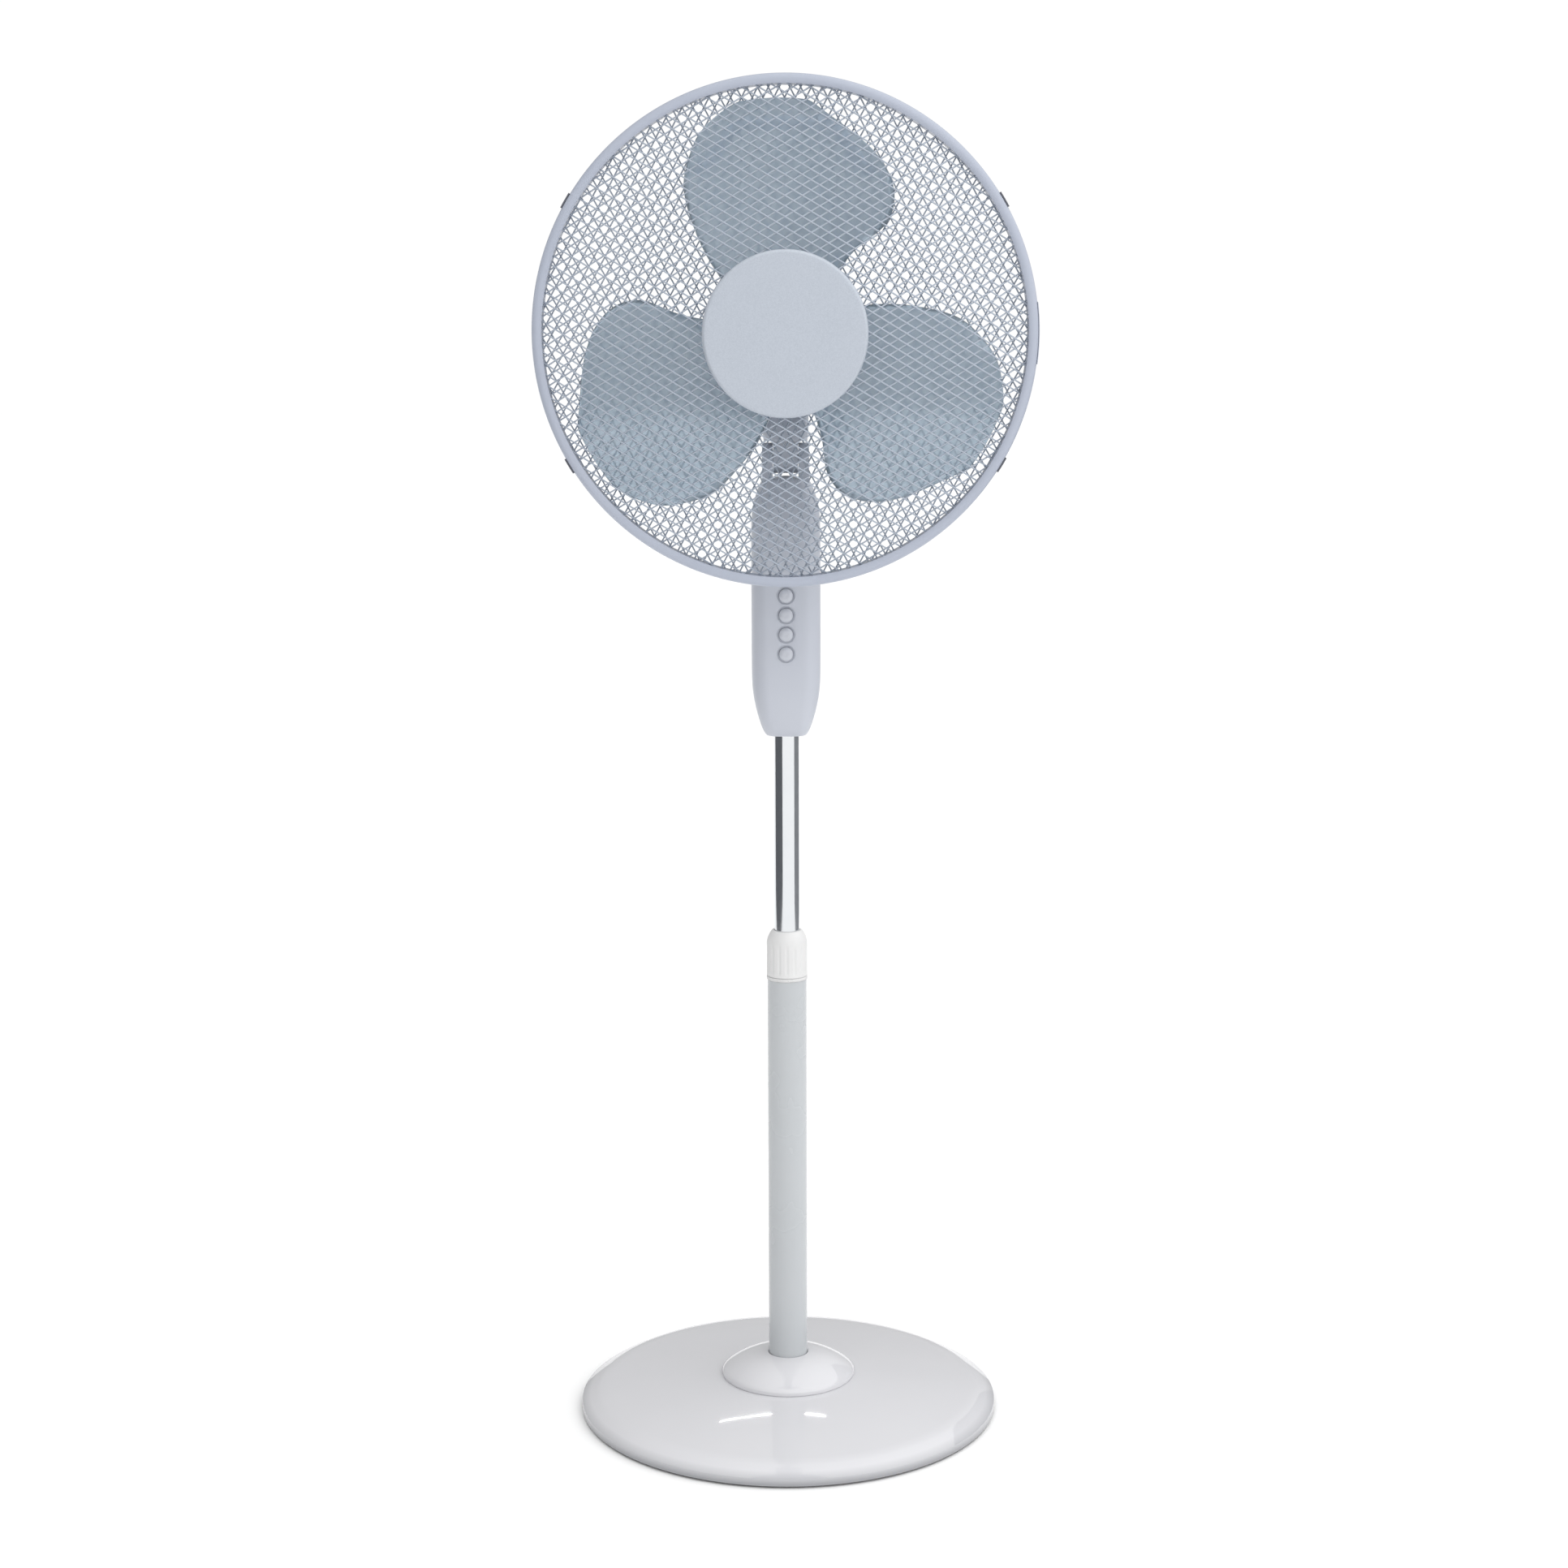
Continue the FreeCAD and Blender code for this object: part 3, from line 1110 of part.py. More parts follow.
def fan_blade():
    """Three blades moulded onto a hub with a sleeve for the shaft."""
    blade = blade_shape()
    blades = []
    for n in range(BLADE_COUNT):
        item = doc.addObject("Part::Feature", f"blade_{n}")
        item.Shape = blade
        place(item, z="head_height")
        item.Placement.Rotation = AXES["front"] * Rotation(Vector(0, 0, 1), 120 * n)
        blades.append(item)
    inside = "fan_hub_radius - hub_wall"
    hub = on_fan_axis("hub", [
        ("hub_sleeve", "fan_hub_back + 4"), ("hub_sleeve", "fan_hub_front - hub_wall"),
        (inside, "fan_hub_front - hub_wall"), (inside, "fan_hub_back"), ("fan_hub_radius", "fan_hub_back"),
        ("fan_hub_radius", "fan_hub_front - 5"), ("via", "fan_hub_radius - 1.5", "fan_hub_front - 1.5"),
        ("fan_hub_radius - 5", "fan_hub_front"), ("shaft_radius + 0.02", "fan_hub_front"),
        ("shaft_radius + 0.02", "fan_hub_back + 4"),
    ])
    hollow = on_fan_axis("hub_hollow", [
        ("hub_sleeve + 0.01", "fan_hub_back - 8"), (inside, "fan_hub_back - 8"),
        (inside, "fan_hub_front - hub_wall"), ("hub_sleeve + 0.01", "fan_hub_front - hub_wall"),
    ])
    way = cylinder("pin_slot", "drive_pin_radius + 0.1", "4 * drive_pin_half", "-2 * drive_pin_half",
                   "0 - drive_pin_place", "head_height", "right")
    outside = cylinder("pin_slot_reach", inside, "drive_pin_place + 5", "0", "0", "head_height", "front")
    keep("fan_blade", cut("fan_hollowed", union("fan_body", [hub] + blades),
                          [hollow, common("pin_room", way, outside)]))


def blade_lock_nut():
    """The spinner that screws onto the end of the shaft."""
    keep("blade_lock_nut", on_fan_axis("spinner", [
        ("shaft_radius", "fan_hub_front + gap"), ("spinner_radius", "fan_hub_front + gap"),
        ("spinner_radius", "fan_hub_front + 7"),
        ("via", "spinner_radius * 0.8", "spinner_front - 2.5"), ("spinner_radius * 0.4", "spinner_front"),
        ("0", "spinner_front"), ("0", "fan_hub_front + 8"), ("shaft_radius", "fan_hub_front + 8"),
    ]))


# ---------------------------------------------------------------- guards

def wire_gaps(name, pitch, angle, inner, outer, low, high):
    """The spaces between parallel wires, over the ring between two radii."""
    long, near, far = value(outer), value(inner), value(outer)
    step, wire = value(pitch), value("wire_width")
    count = int(far / step) + 1
    bars = [
        Part.makeBox(2 * long, step - wire, value(high) - value(low),
                     Vector(-long, n * step + wire / 2, value(low)))
        for n in range(-count, count)
    ]
    room = Part.makeCylinder(far, value(high) - value(low), Vector(0, 0, value(low)))
    room = room.cut(Part.makeCylinder(near, value(high) - value(low), Vector(0, 0, value(low))))
    spaces = Part.makeCompound(bars)
    spaces.rotate(Vector(), Vector(0, 0, 1), value(angle))
    item = doc.addObject("Part::Feature", name)
    item.Shape = spaces.common(room)
    return place(item, z="head_height", axis="front")


def dish(name, start, edge):
    """One layer of wires: flat in the middle, domed, and flat again at its rim.

    start gives the height of the flat middle and edge that of the rim, both at the layer's rear face.
    """
    bulge = f"(({start}) * 0.46 + ({edge}) * 0.54 + dish_bulge * {1 if value(start) > value(edge) else -1})"
    middle = "(guard_plate_radius + guard_seat) * 0.5"
    return on_fan_axis(name, [
        ("boss_radius + gap", start), ("guard_plate_radius", start), ("via", middle, bulge),
        ("guard_seat", edge), ("guard_lip", edge), ("guard_lip", f"({edge}) + wire_layer"),
        ("guard_seat", f"({edge}) + wire_layer"), ("via", middle, f"{bulge} + wire_layer"),
        ("guard_plate_radius", f"({start}) + wire_layer"), ("boss_radius + gap", f"({start}) + wire_layer"),
    ])


def guard(label, start, edge, pitch, angle):
    """A guard of two layers of welded wires that cross."""
    layers = []
    for n, sign in enumerate("+-"):
        rise = f"{n} * (wire_layer + layer_gap)"
        low, high = sorted((start, edge), key=value)
        gaps = wire_gaps(f"{label}_gaps_{n}", pitch, f"0 {sign} {angle}", "guard_plate_radius - 6",
                         "guard_seat - 3", f"{low} - 30", f"{high} + 30")
        sheet_dish = dish(f"{label}_dish_{n}", f"{start} + {rise}", f"{edge} + {rise}")
        layers.append(cut(f"{label}_layer_{n}", sheet_dish, [gaps]))
    keep(label, group(f"{label}_layers", layers))


def guard_clamp_nut():
    keep("guard_clamp_nut", on_fan_axis("clamp_nut", [
        ("boss_radius", "guard_back + 2 * wire_layer + layer_gap"),
        ("boss_radius + 9", "guard_back + 2 * wire_layer + layer_gap"),
        ("boss_radius + 9", "boss_reach - 4"), ("boss_radius + 6", "boss_reach"),
        ("boss_radius", "boss_reach"),
    ]))


def guard_ring():
    """The channel that clips round both rims."""
    inner, outer = "guard_radius - ring_width", "guard_radius - clip_wall"
    keep("guard_ring", on_fan_axis("ring_channel", [
        (inner, "ring_back"), ("guard_radius - 3", "ring_back"),
        ("via", "guard_radius - clip_wall - 0.8", "ring_back + 0.8"),
        (outer, "ring_back + 3"), (outer, "ring_front - 3"),
        ("via", "guard_radius - clip_wall - 0.8", "ring_front - 0.8"),
        ("guard_radius - 3", "ring_front"), (inner, "ring_front"),
        (inner, "ring_front - ring_wall"), (f"{outer} - ring_wall", "ring_front - ring_wall"),
        (f"{outer} - ring_wall", "ring_back + ring_wall"), (inner, "ring_back + ring_wall"),
    ]))


def ring_clip():
    """Closes the ring at its right side."""
    band = on_fan_axis("clip_band", [
        ("guard_radius - clip_wall", "ring_back + 3"), ("guard_radius", "ring_back + 3"),
        ("guard_radius", "ring_front - 3"), ("guard_radius - clip_wall", "ring_front - 3"),
    ])
    room = block("clip_room", ("guard_radius * 0.9", "guard_radius + 1"),
                 ("0 - ring_front - 1", "0 - ring_back + 1"),
                 ("head_height - clip_half", "head_height + clip_half"))
    keep("ring_clip", common("clip_cut", band, room))


def rim_clips():
    """Four small spring clips over the ring's outside."""
    outside = "guard_radius - clip_wall"
    band = on_fan_axis("rim_clip_band", [
        (outside, "ring_back + 3"), (f"{outside} + rim_clip_wall", "ring_back + 3"),
        (f"{outside} + rim_clip_wall", "ring_front - 3"), (outside, "ring_front - 3"),
    ])
    angle = value("rim_clip_angle")
    clips = [
        common(f"rim_clip_{n}", band, spoke(f"rim_clip_room_{n}", "guard_radius * 0.9", "guard_radius * 0.2",
                                            "rim_clip_length", "ring_back", "ring_front - ring_back", turn))
        for n, turn in enumerate((angle, 180 - angle, 180 + angle, 360 - angle))
    ]
    keep("rim_clips", group("rim_clip_set", clips))


def badge_plate():
    keep("badge_plate", on_fan_axis("plate_of_badge", [
        ("0", "guard_front + 2 * wire_layer + layer_gap"),
        ("guard_plate_radius - 2", "guard_front + 2 * wire_layer + layer_gap"),
        ("guard_plate_radius - 2", "guard_front + 2 * wire_layer + layer_gap + 1"),
        ("0", "guard_front + 2 * wire_layer + layer_gap + 1"),
    ]))


def badge_front():
    """The plain round cover in the middle of the front guard, hollow behind."""
    low = "guard_front + 2 * wire_layer + layer_gap"
    top = f"{low} + badge_thickness"
    keep("badge_front", on_fan_axis("badge", [
        ("0", f"{low} + 1"), ("guard_plate_radius - 2", f"{low} + 1"), ("guard_plate_radius - 2", low),
        ("badge_radius", low), ("badge_radius", f"{top} - 3"),
        ("via", "badge_radius - 0.9", f"{top} - 0.9"), ("badge_radius - 3", top), ("0", top),
    ]))


def carry_handle():
    """A bar across the top of the rear guard with a foot at each end."""
    corners = [("0 - handle_half_foot", "handle_foot"), ("0 - handle_half_top", "handle_top"),
               ("handle_half_top", "handle_top"), ("handle_half_foot", "handle_foot")]
    bars = []
    for n, (start, end) in enumerate(zip(corners, corners[1:])):
        run = Vector(*(value(end[k]) - value(start[k]) for k in (0, 1)), 0)
        bar = cylinder(f"handle_bar_{n}", "handle_radius",
                       f"sqrt(({end[0]} - ({start[0]})) ^ 2 + ({end[1]} - ({start[1]})) ^ 2)",
                       start[0], "0 - handle_reach", f"head_height + {start[1]}")
        bar.Placement.Rotation = AXES["front"] * Rotation(Vector(0, 0, 1), run)
        bars.append(bar)
    for n, (x, z) in enumerate(corners):
        ball = doc.addObject("Part::Sphere", f"handle_knuckle_{n}")
        bind(ball, "Radius", "handle_radius")
        bars.append(place(ball, x, "0 - handle_reach", f"head_height + {z}"))
    for n, (x, z) in enumerate((corners[0], corners[3])):
        bars.append(cylinder(f"handle_foot_{n}", "handle_radius", "handle_foot_reach - handle_reach", x,
                             "0 - handle_reach", f"head_height + {z}", "front"))
    keep("carry_handle", union("handle_body", bars))


# ---------------------------------------------------------------- build and export

def build():
    write_dimensions()
    base_cover()
    base_weight()
    base_bottom_plate()
    base_feet()
    base_screws()
    pole_flange()
    flange_screws()
    base_trim()
    outer_pole()
    lock_bushing()
    grip_ring()
    height_lock_nut()
    inner_pole()
    inner_pole_guide()
    control_shells()
    shell_screws()
    pole_socket()
    pole_clamp_screw()
    switch_block()
    capacitor()
    cord_gland()
    speed_buttons()
    tilt_bolt()
    tilt_nut()
    tilt_bracket()
    pivot_bush()
    pivot_shaft()
    pivot_retaining_screw()
    link_rod()
    motor_front_bell()
    motor_rear_bell()
    motor_bolts()
    stator_core()
    stator_coils()
    motor_bearings()
    rotor_core()
    motor_shaft()
    drive_pin()
    gearbox_case()
    worm_wheel()
    crank()
    oscillation_knob()
    motor_rear_housing()
    motor_front_plate()
    housing_screws()
    fan_blade()
    blade_lock_nut()
    guard("rear_guard", "guard_back", "ring_back + 4", "wire_pitch_rear", "rear_wire_angle")
    guard_clamp_nut()
    guard("front_guard", "guard_front", "ring_front - 8", "wire_pitch", "front_wire_angle")
    guard_ring()
    ring_clip()
    rim_clips()
    badge_plate()
    badge_front()
    carry_handle()
    doc.recompute()


def check():
    for item in doc.Objects:
        if "Invalid" in item.State or "Error" in item.State:
            raise RuntimeError(f"{item.Name} ({item.Label}) failed: {item.State}")
    for label, item in sub_parts:
        if item.Shape.isNull() or not item.Shape.isValid():
            raise RuntimeError(f"{label} has no valid shape")


def export():
    os.makedirs("parts", exist_ok=True)
    for label, item in sub_parts:
        item.Shape.exportStep(f"parts/{label}.step")


build()
check()
export()
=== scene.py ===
import json
import math

import bpy
from mathutils import Matrix, Vector

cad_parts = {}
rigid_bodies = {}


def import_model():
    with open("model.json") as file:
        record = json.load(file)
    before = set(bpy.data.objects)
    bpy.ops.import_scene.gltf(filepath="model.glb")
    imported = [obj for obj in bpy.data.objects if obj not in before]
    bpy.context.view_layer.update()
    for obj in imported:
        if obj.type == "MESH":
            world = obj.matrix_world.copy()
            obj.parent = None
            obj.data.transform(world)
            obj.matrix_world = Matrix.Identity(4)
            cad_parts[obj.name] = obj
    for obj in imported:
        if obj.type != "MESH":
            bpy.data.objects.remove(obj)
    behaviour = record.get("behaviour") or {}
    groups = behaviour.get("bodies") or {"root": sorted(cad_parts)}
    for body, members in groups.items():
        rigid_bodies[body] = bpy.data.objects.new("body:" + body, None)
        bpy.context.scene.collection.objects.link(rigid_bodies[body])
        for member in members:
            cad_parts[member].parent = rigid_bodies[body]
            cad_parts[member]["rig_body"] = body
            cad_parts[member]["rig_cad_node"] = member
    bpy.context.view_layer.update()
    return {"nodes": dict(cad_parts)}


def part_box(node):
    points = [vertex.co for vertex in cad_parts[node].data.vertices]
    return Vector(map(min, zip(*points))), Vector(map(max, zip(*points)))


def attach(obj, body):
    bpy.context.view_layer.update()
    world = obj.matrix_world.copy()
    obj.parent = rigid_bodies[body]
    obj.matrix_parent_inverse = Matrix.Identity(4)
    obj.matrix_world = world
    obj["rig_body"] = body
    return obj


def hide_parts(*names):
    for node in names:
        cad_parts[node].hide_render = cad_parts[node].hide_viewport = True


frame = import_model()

MM = 0.001
NODES = frame["nodes"]

# ---------------------------------------------------------------- places read from the frame

RING_LOW, RING_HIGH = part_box("guard_ring")
HEAD_HEIGHT = (RING_LOW.z + RING_HIGH.z) / 2


def facing_forwards(height):
    """Turns a piece that is modelled upright to face forwards, and lifts it to a height."""
    return Matrix.Translation((0, 0, height)) @ Matrix.Rotation(math.radians(90), 4, "X")


ON_HEAD = facing_forwards(HEAD_HEIGHT)


def ahead(node):
    """How far in front of the pole's axis a node starts and ends."""
    low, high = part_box(node)
    return -high.y, -low.y


def heights(node):
    """How high above the floor a node starts and ends."""
    low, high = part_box(node)
    return low.z, high.z


def half_width(node):
    low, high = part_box(node)
    return (high.x - low.x) / 2


# ---------------------------------------------------------------- camera

CAMERA_PLACE = (0, -2.4, 1.005)
LOOKS_DOWN = math.radians(9.7)
ROLLS = math.radians(-0.17)
STUDIO_SIZE = 60


def set_up_camera():
    """A camera 2.4 m in front of the fan at chest height, which looks a little down at its middle."""
    camera = bpy.data.cameras.new("camera")
    camera.sensor_width = 36
    camera.lens = 61.27
    camera.shift_x = -0.0016
    camera.clip_end = STUDIO_SIZE
    stand = bpy.data.objects.new("camera", camera)
    stand.location = CAMERA_PLACE
    level = Matrix.Rotation(math.radians(90) - LOOKS_DOWN, 3, "X")
    stand.rotation_euler = (level @ Matrix.Rotation(ROLLS, 3, "Z")).to_euler()
    bpy.context.scene.collection.objects.link(stand)
    bpy.context.scene.camera = stand


# ---------------------------------------------------------------- modelling

SEAM = 0.002 * MM


def only(piece):
    """Selects one piece and nothing else."""
    bpy.ops.object.select_all(action="DESELECT")
    piece.select_set(True)
    bpy.context.view_layer.objects.active = piece


def named(name):
    """The active piece, with its name."""
    piece = bpy.context.active_object
    piece.name = name
    piece.data.name = name
    return piece


def settle(piece, matrix=None):
    """Puts a piece's place into its mesh, closes its seams and turns its faces outwards."""
    only(piece)
    if matrix:
        piece.matrix_world = matrix @ piece.matrix_world
    bpy.ops.object.transform_apply(location=True, rotation=True, scale=True)
    bpy.ops.object.mode_set(mode="EDIT")
    bpy.ops.mesh.select_all(action="SELECT")
    bpy.ops.mesh.remove_doubles(threshold=SEAM)
    bpy.ops.mesh.normals_make_consistent(inside=False)
    bpy.ops.object.mode_set(mode="OBJECT")
    return piece


def finish_with(piece, kind, **settings):
    """Adds a modifier and applies it."""
    only(piece)
    modifier = piece.modifiers.new(kind.lower(), kind)
    for key, setting in settings.items():
        setattr(modifier, key, setting)
    bpy.ops.object.modifier_apply(modifier=modifier.name)
    return piece


def smooth(piece, degrees=30):
    only(piece)
    bpy.ops.object.shade_smooth_by_angle(angle=math.radians(degrees))
    return piece


def rounded(piece, width, segments=3, degrees=35):
    """Breaks the sharp edges with a bevel."""
    return finish_with(piece, "BEVEL", width=width, segments=segments, limit_method="ANGLE",
                       angle_limit=math.radians(degrees), harden_normals=False)


def curve_through(start, middle, end, count):
    """Points of the arc through three (radius, height) points, without its start."""
    (x1, y1), (x2, y2), (x3, y3) = start, middle, end
    double = 2 * (x1 * (y2 - y3) + x2 * (y3 - y1) + x3 * (y1 - y2))
    s1, s2, s3 = (x * x + y * y for x, y in (start, middle, end))
    cx = (s1 * (y2 - y3) + s2 * (y3 - y1) + s3 * (y1 - y2)) / double
    cy = (s1 * (x3 - x2) + s2 * (x1 - x3) + s3 * (x2 - x1)) / double
    first = math.atan2(y1 - cy, x1 - cx)
    sweep = math.remainder(math.atan2(y3 - cy, x3 - cx) - first, 2 * math.pi)
    radius = math.hypot(x1 - cx, y1 - cy)
    angles = [first + sweep * n / count for n in range(1, count + 1)]
    return [(cx + radius * math.cos(angle), cy + radius * math.sin(angle)) for angle in angles]


def turned(name, profile, matrix=None, steps=96):
    """A piece turned about its axis: a circle extruded and scaled from point to point of its profile."""
    bpy.ops.object.select_all(action="DESELECT")
    radius, height = profile[0]
    bpy.ops.mesh.primitive_circle_add(vertices=steps, radius=radius, location=(0, 0, height))
    piece = named(name)
    bpy.ops.object.transform_apply(location=True, rotation=False, scale=False)
    bpy.ops.object.mode_set(mode="EDIT")
    bpy.ops.mesh.select_mode(type="VERT")
    bpy.ops.mesh.select_all(action="SELECT")
    for next_radius, next_height in profile[1:]:
        bpy.ops.mesh.extrude_region_move(TRANSFORM_OT_translate={"value": (0, 0, next_height - height)})
        grow = next_radius / radius
        bpy.ops.transform.resize(value=(grow, grow, 1), center_override=(0, 0, next_height))
        radius, height = next_radius, next_height
    bpy.ops.object.mode_set(mode="OBJECT")
    return settle(piece, matrix)


def closed_turned(name, profile, matrix=None, steps=96):
    """A turned piece whose two ends are filled."""
    piece = turned(name, profile, None, steps)
    only(piece)
    bpy.ops.object.mode_set(mode="EDIT")
    bpy.ops.mesh.select_all(action="SELECT")
    bpy.ops.mesh.region_to_loop()
    bpy.ops.mesh.edge_face_add()
    bpy.ops.object.mode_set(mode="OBJECT")
    return settle(piece, matrix)


def tidy_copy(node, name, degrees=30):
    """The CAD node's own shape as one merged, smooth-shaded piece that stands for it."""
    piece = NODES[node].copy()
    piece.data = NODES[node].data.copy()
    piece.parent = None
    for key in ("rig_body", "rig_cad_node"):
        if key in piece:
            del piece[key]
    bpy.context.scene.collection.objects.link(piece)
    piece.name = name
    piece.data.name = name
    piece.data.materials.clear()
    only(piece)
    bpy.ops.object.mode_set(mode="EDIT")
    bpy.ops.mesh.select_all(action="SELECT")
    bpy.ops.mesh.remove_doubles(threshold=SEAM)
    bpy.ops.object.mode_set(mode="OBJECT")
    return smooth(piece, degrees)


def joined(name, pieces):
    bpy.ops.object.select_all(action="DESELECT")
    for piece in pieces:
        piece.select_set(True)
    bpy.context.view_layer.objects.active = pieces[0]
    bpy.ops.object.join()
    return named(name)


def hand_over(piece, body, material, *nodes):
    """Finishes a piece: its material, the body it rides on and the CAD nodes it stands for."""
    piece.data.materials.clear()
    piece.data.materials.append(material)
    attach(piece, body)
    if nodes:
        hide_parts(*nodes)


# ---------------------------------------------------------------- material helpers

def linear(code):
    """An sRGB hex colour as the linear values that a shader takes."""
    values = [int(code[k:k + 2], 16) / 255 for k in (0, 2, 4)]
    return tuple(v / 12.92 if v <= 0.04045 else ((v + 0.055) / 1.055) ** 2.4 for v in values) + (1,)


def add(material, kind, settings=(), links=(), **properties):
    """Adds a node with its properties, its socket settings and its incoming links."""
    made = material.node_tree.nodes.new(kind)
    for key, setting in properties.items():
        setattr(made, key, setting)
    for socket, setting in dict(settings).items():
        made.inputs[socket].default_value = setting
    for socket, (source, output) in dict(links).items():
        material.node_tree.links.new(source.outputs[output], made.inputs[socket])
    return made


def finish_named(name):
    """A new material with its shader and the object's own coordinates."""
    material = bpy.data.materials.new(name)
    material.use_nodes = True
    shader = material.node_tree.nodes["Principled BSDF"]
    place = add(material, "ShaderNodeTexCoord")
    return material, shader, place


def wire_up(material, shader, socket, source, output):
    material.node_tree.links.new(source.outputs[output], shader.inputs[socket])


def blended_colour(material, shader, light, dark, source, output):
    """Gives the shader a blend of two colours that another node drives."""
    mix = add(material, "ShaderNodeMix", {6: linear(light), 7: linear(dark)}, {0: (source, output)},
              data_type="RGBA")
    wire_up(material, shader, "Base Color", mix, 2)


def cloudy_colour(material, shader, place, light, dark, size):
    """Blends two close colours in patches of a size in metres."""
    noise = add(material, "ShaderNodeTexNoise", {"Scale": 1 / size, "Detail": 3, "Roughness": 0.5},
                {"Vector": (place, "Object")})
    blended_colour(material, shader, light, dark, noise, "Fac")
    return noise


def cloudy_roughness(material, shader, noise, low, high):
    """Varies the roughness with the patches of the colour."""
    spread = add(material, "ShaderNodeMapRange",
                 {"From Min": 0.3, "From Max": 0.7, "To Min": low, "To Max": high}, {"Value": (noise, "Fac")})
    wire_up(material, shader, "Roughness", spread, "Result")


def grain(material, shader, place, size, depth, stretch=(1, 1, 1)):
    """A fine relief of a grain size and depth in metres, stretched where it is drawn or turned."""
    stretched = add(material, "ShaderNodeMapping", {"Scale": stretch}, {"Vector": (place, "Object")})
    noise = add(material, "ShaderNodeTexNoise", {"Scale": 1 / size, "Detail": 2, "Roughness": 0.55},
                {"Vector": (stretched, "Vector")})
    bump = add(material, "ShaderNodeBump", {"Strength": 0.6, "Distance": depth}, {"Height": (noise, "Fac")})
    wire_up(material, shader, "Normal", bump, "Normal")


# ---------------------------------------------------------------- materials

def moulded_abs(name, light, dark, roughness):
    """ABS moulded in a spark-eroded tool: an even colour, a soft sheen and a texture drawn coarse to show."""
    material, shader, place = finish_named(name)
    noise = cloudy_colour(material, shader, place, light, dark, 60 * MM)
    cloudy_roughness(material, shader, noise, roughness, roughness + 0.06)
    grain(material, shader, place, 0.5 * MM, 0.02 * MM)
    shader.inputs["IOR"].default_value = 1.54
    return material


# painted shade: the heights above the floor between which the colour darkens, standing in for the shade on
# the base's lower rim
PAINTED_SHADE_LOW, PAINTED_SHADE_HIGH = 4 * MM, 13 * MM


def glossy_polystyrene(name, light, dark, painted_shade_grey):
    """Polystyrene from a polished tool: wet-looking, with painted shade: its colour turns to a darker grey
    near the floor.
    """
    material, shader, place = finish_named(name)
    noise = cloudy_colour(material, shader, place, light, dark, 120 * MM)
    cloudy_roughness(material, shader, noise, 0.015, 0.03)
    grain(material, shader, place, 40 * MM, 0.03 * MM)
    plain = shader.inputs["Base Color"].links[0].from_node
    # painted shade: towards the floor the colour blends into a darker grey, standing in for the shade on the
    # rim's lower edge
    level = add(material, "ShaderNodeSeparateXYZ", {}, {"Vector": (place, "Object")})
    low = add(material, "ShaderNodeMapRange",
              {"From Min": PAINTED_SHADE_LOW, "From Max": PAINTED_SHADE_HIGH, "To Min": 1, "To Max": 0},
              {"Value": (level, "Z")})
    shaded_near_floor = add(material, "ShaderNodeMix", {7: linear(painted_shade_grey)}, {0: (low, "Result"), 6: (plain, 2)},
               data_type="RGBA")
    wire_up(material, shader, "Base Color", shaded_near_floor, 2)
    shader.inputs["IOR"].default_value = 1.59
    shader.inputs["Coat Weight"].default_value = 0.3
    shader.inputs["Coat Roughness"].default_value = 0.05
    return material


def clear_tinted_resin():
    """Styrene-acrylonitrile tinted blue-grey and left translucent, as fan blades are: light passes softly."""
    material, shader, place = finish_named("tinted styrene resin")
    noise = cloudy_colour(material, shader, place, "C6D5E1", "BCCDDB", 45 * MM)
    cloudy_roughness(material, shader, noise, 0.05, 0.09)
    grain(material, shader, place, 14 * MM, 0.04 * MM)
    shader.inputs["IOR"].default_value = 1.57
    shader.inputs["Transmission Weight"].default_value = 0.6
    return material


def powder_coated_wire():
    """Steel wire with a blue-grey epoxy powder coat: glossy, with the coat's orange peel."""
    material, shader, place = finish_named("powder coated wire")
    noise = cloudy_colour(material, shader, place, "B2BAC6", "A6AFBC", 30 * MM)
    cloudy_roughness(material, shader, noise, 0.28, 0.38)
    grain(material, shader, place, 1.2 * MM, 0.03 * MM)
    shader.inputs["IOR"].default_value = 1.52
    return material


def pearl_lacquer():
    """Silver-grey pearl lacquer on moulded plastic: fine bright flakes under a smooth clear coat."""
    material, shader, place = finish_named("pearl lacquer")
    flake = 0.9 * MM  # real flakes are finer; these are as coarse as they need to be to show
    flakes = add(material, "ShaderNodeTexVoronoi", {"Scale": 1 / flake}, {"Vector": (place, "Object")})
    blended_colour(material, shader, "AEB5C0", "B9C0CA", flakes, "Color")
    grain(material, shader, place, flake, 0.01 * MM)
    shader.inputs["Metallic"].default_value = 0.15
    shader.inputs["Roughness"].default_value = 0.36
    shader.inputs["Coat Weight"].default_value = 0.35
    shader.inputs["Coat Roughness"].default_value = 0.12
    return material


def enamelled_tube():
    """White stove enamel on a rolled steel tube: smooth gloss with a very shallow waviness."""
    material, shader, place = finish_named("white stove enamel")
    noise = cloudy_colour(material, shader, place, "BCBFC2", "B6BABD", 80 * MM)
    cloudy_roughness(material, shader, noise, 0.22, 0.3)
    grain(material, shader, place, 12 * MM, 0.004 * MM)
    shader.inputs["Coat Weight"].default_value = 0.25
    return material


def bright_chrome():
    """Chrome plate on a polished steel tube: a clear mirror with slight polishing lines."""
    material, shader, place = finish_named("bright chrome")
    noise = cloudy_colour(material, shader, place, "E9EBED", "DFE2E5", 25 * MM)
    cloudy_roughness(material, shader, noise, 0.07, 0.12)
    grain(material, shader, place, 0.8 * MM, 0.006 * MM, stretch=(1, 1, 0.05))
    shader.inputs["Metallic"].default_value = 1
    return material


def plain_metal(name, light, dark, roughness, size, stretch=(1, 1, 1)):
    """Bare or plated metal whose grain follows how it was worked."""
    material, shader, place = finish_named(name)
    noise = cloudy_colour(material, shader, place, light, dark, size * 12)
    cloudy_roughness(material, shader, noise, roughness, roughness + 0.12)
    grain(material, shader, place, size, 0.04 * MM, stretch)
    shader.inputs["Metallic"].default_value = 1
    return material


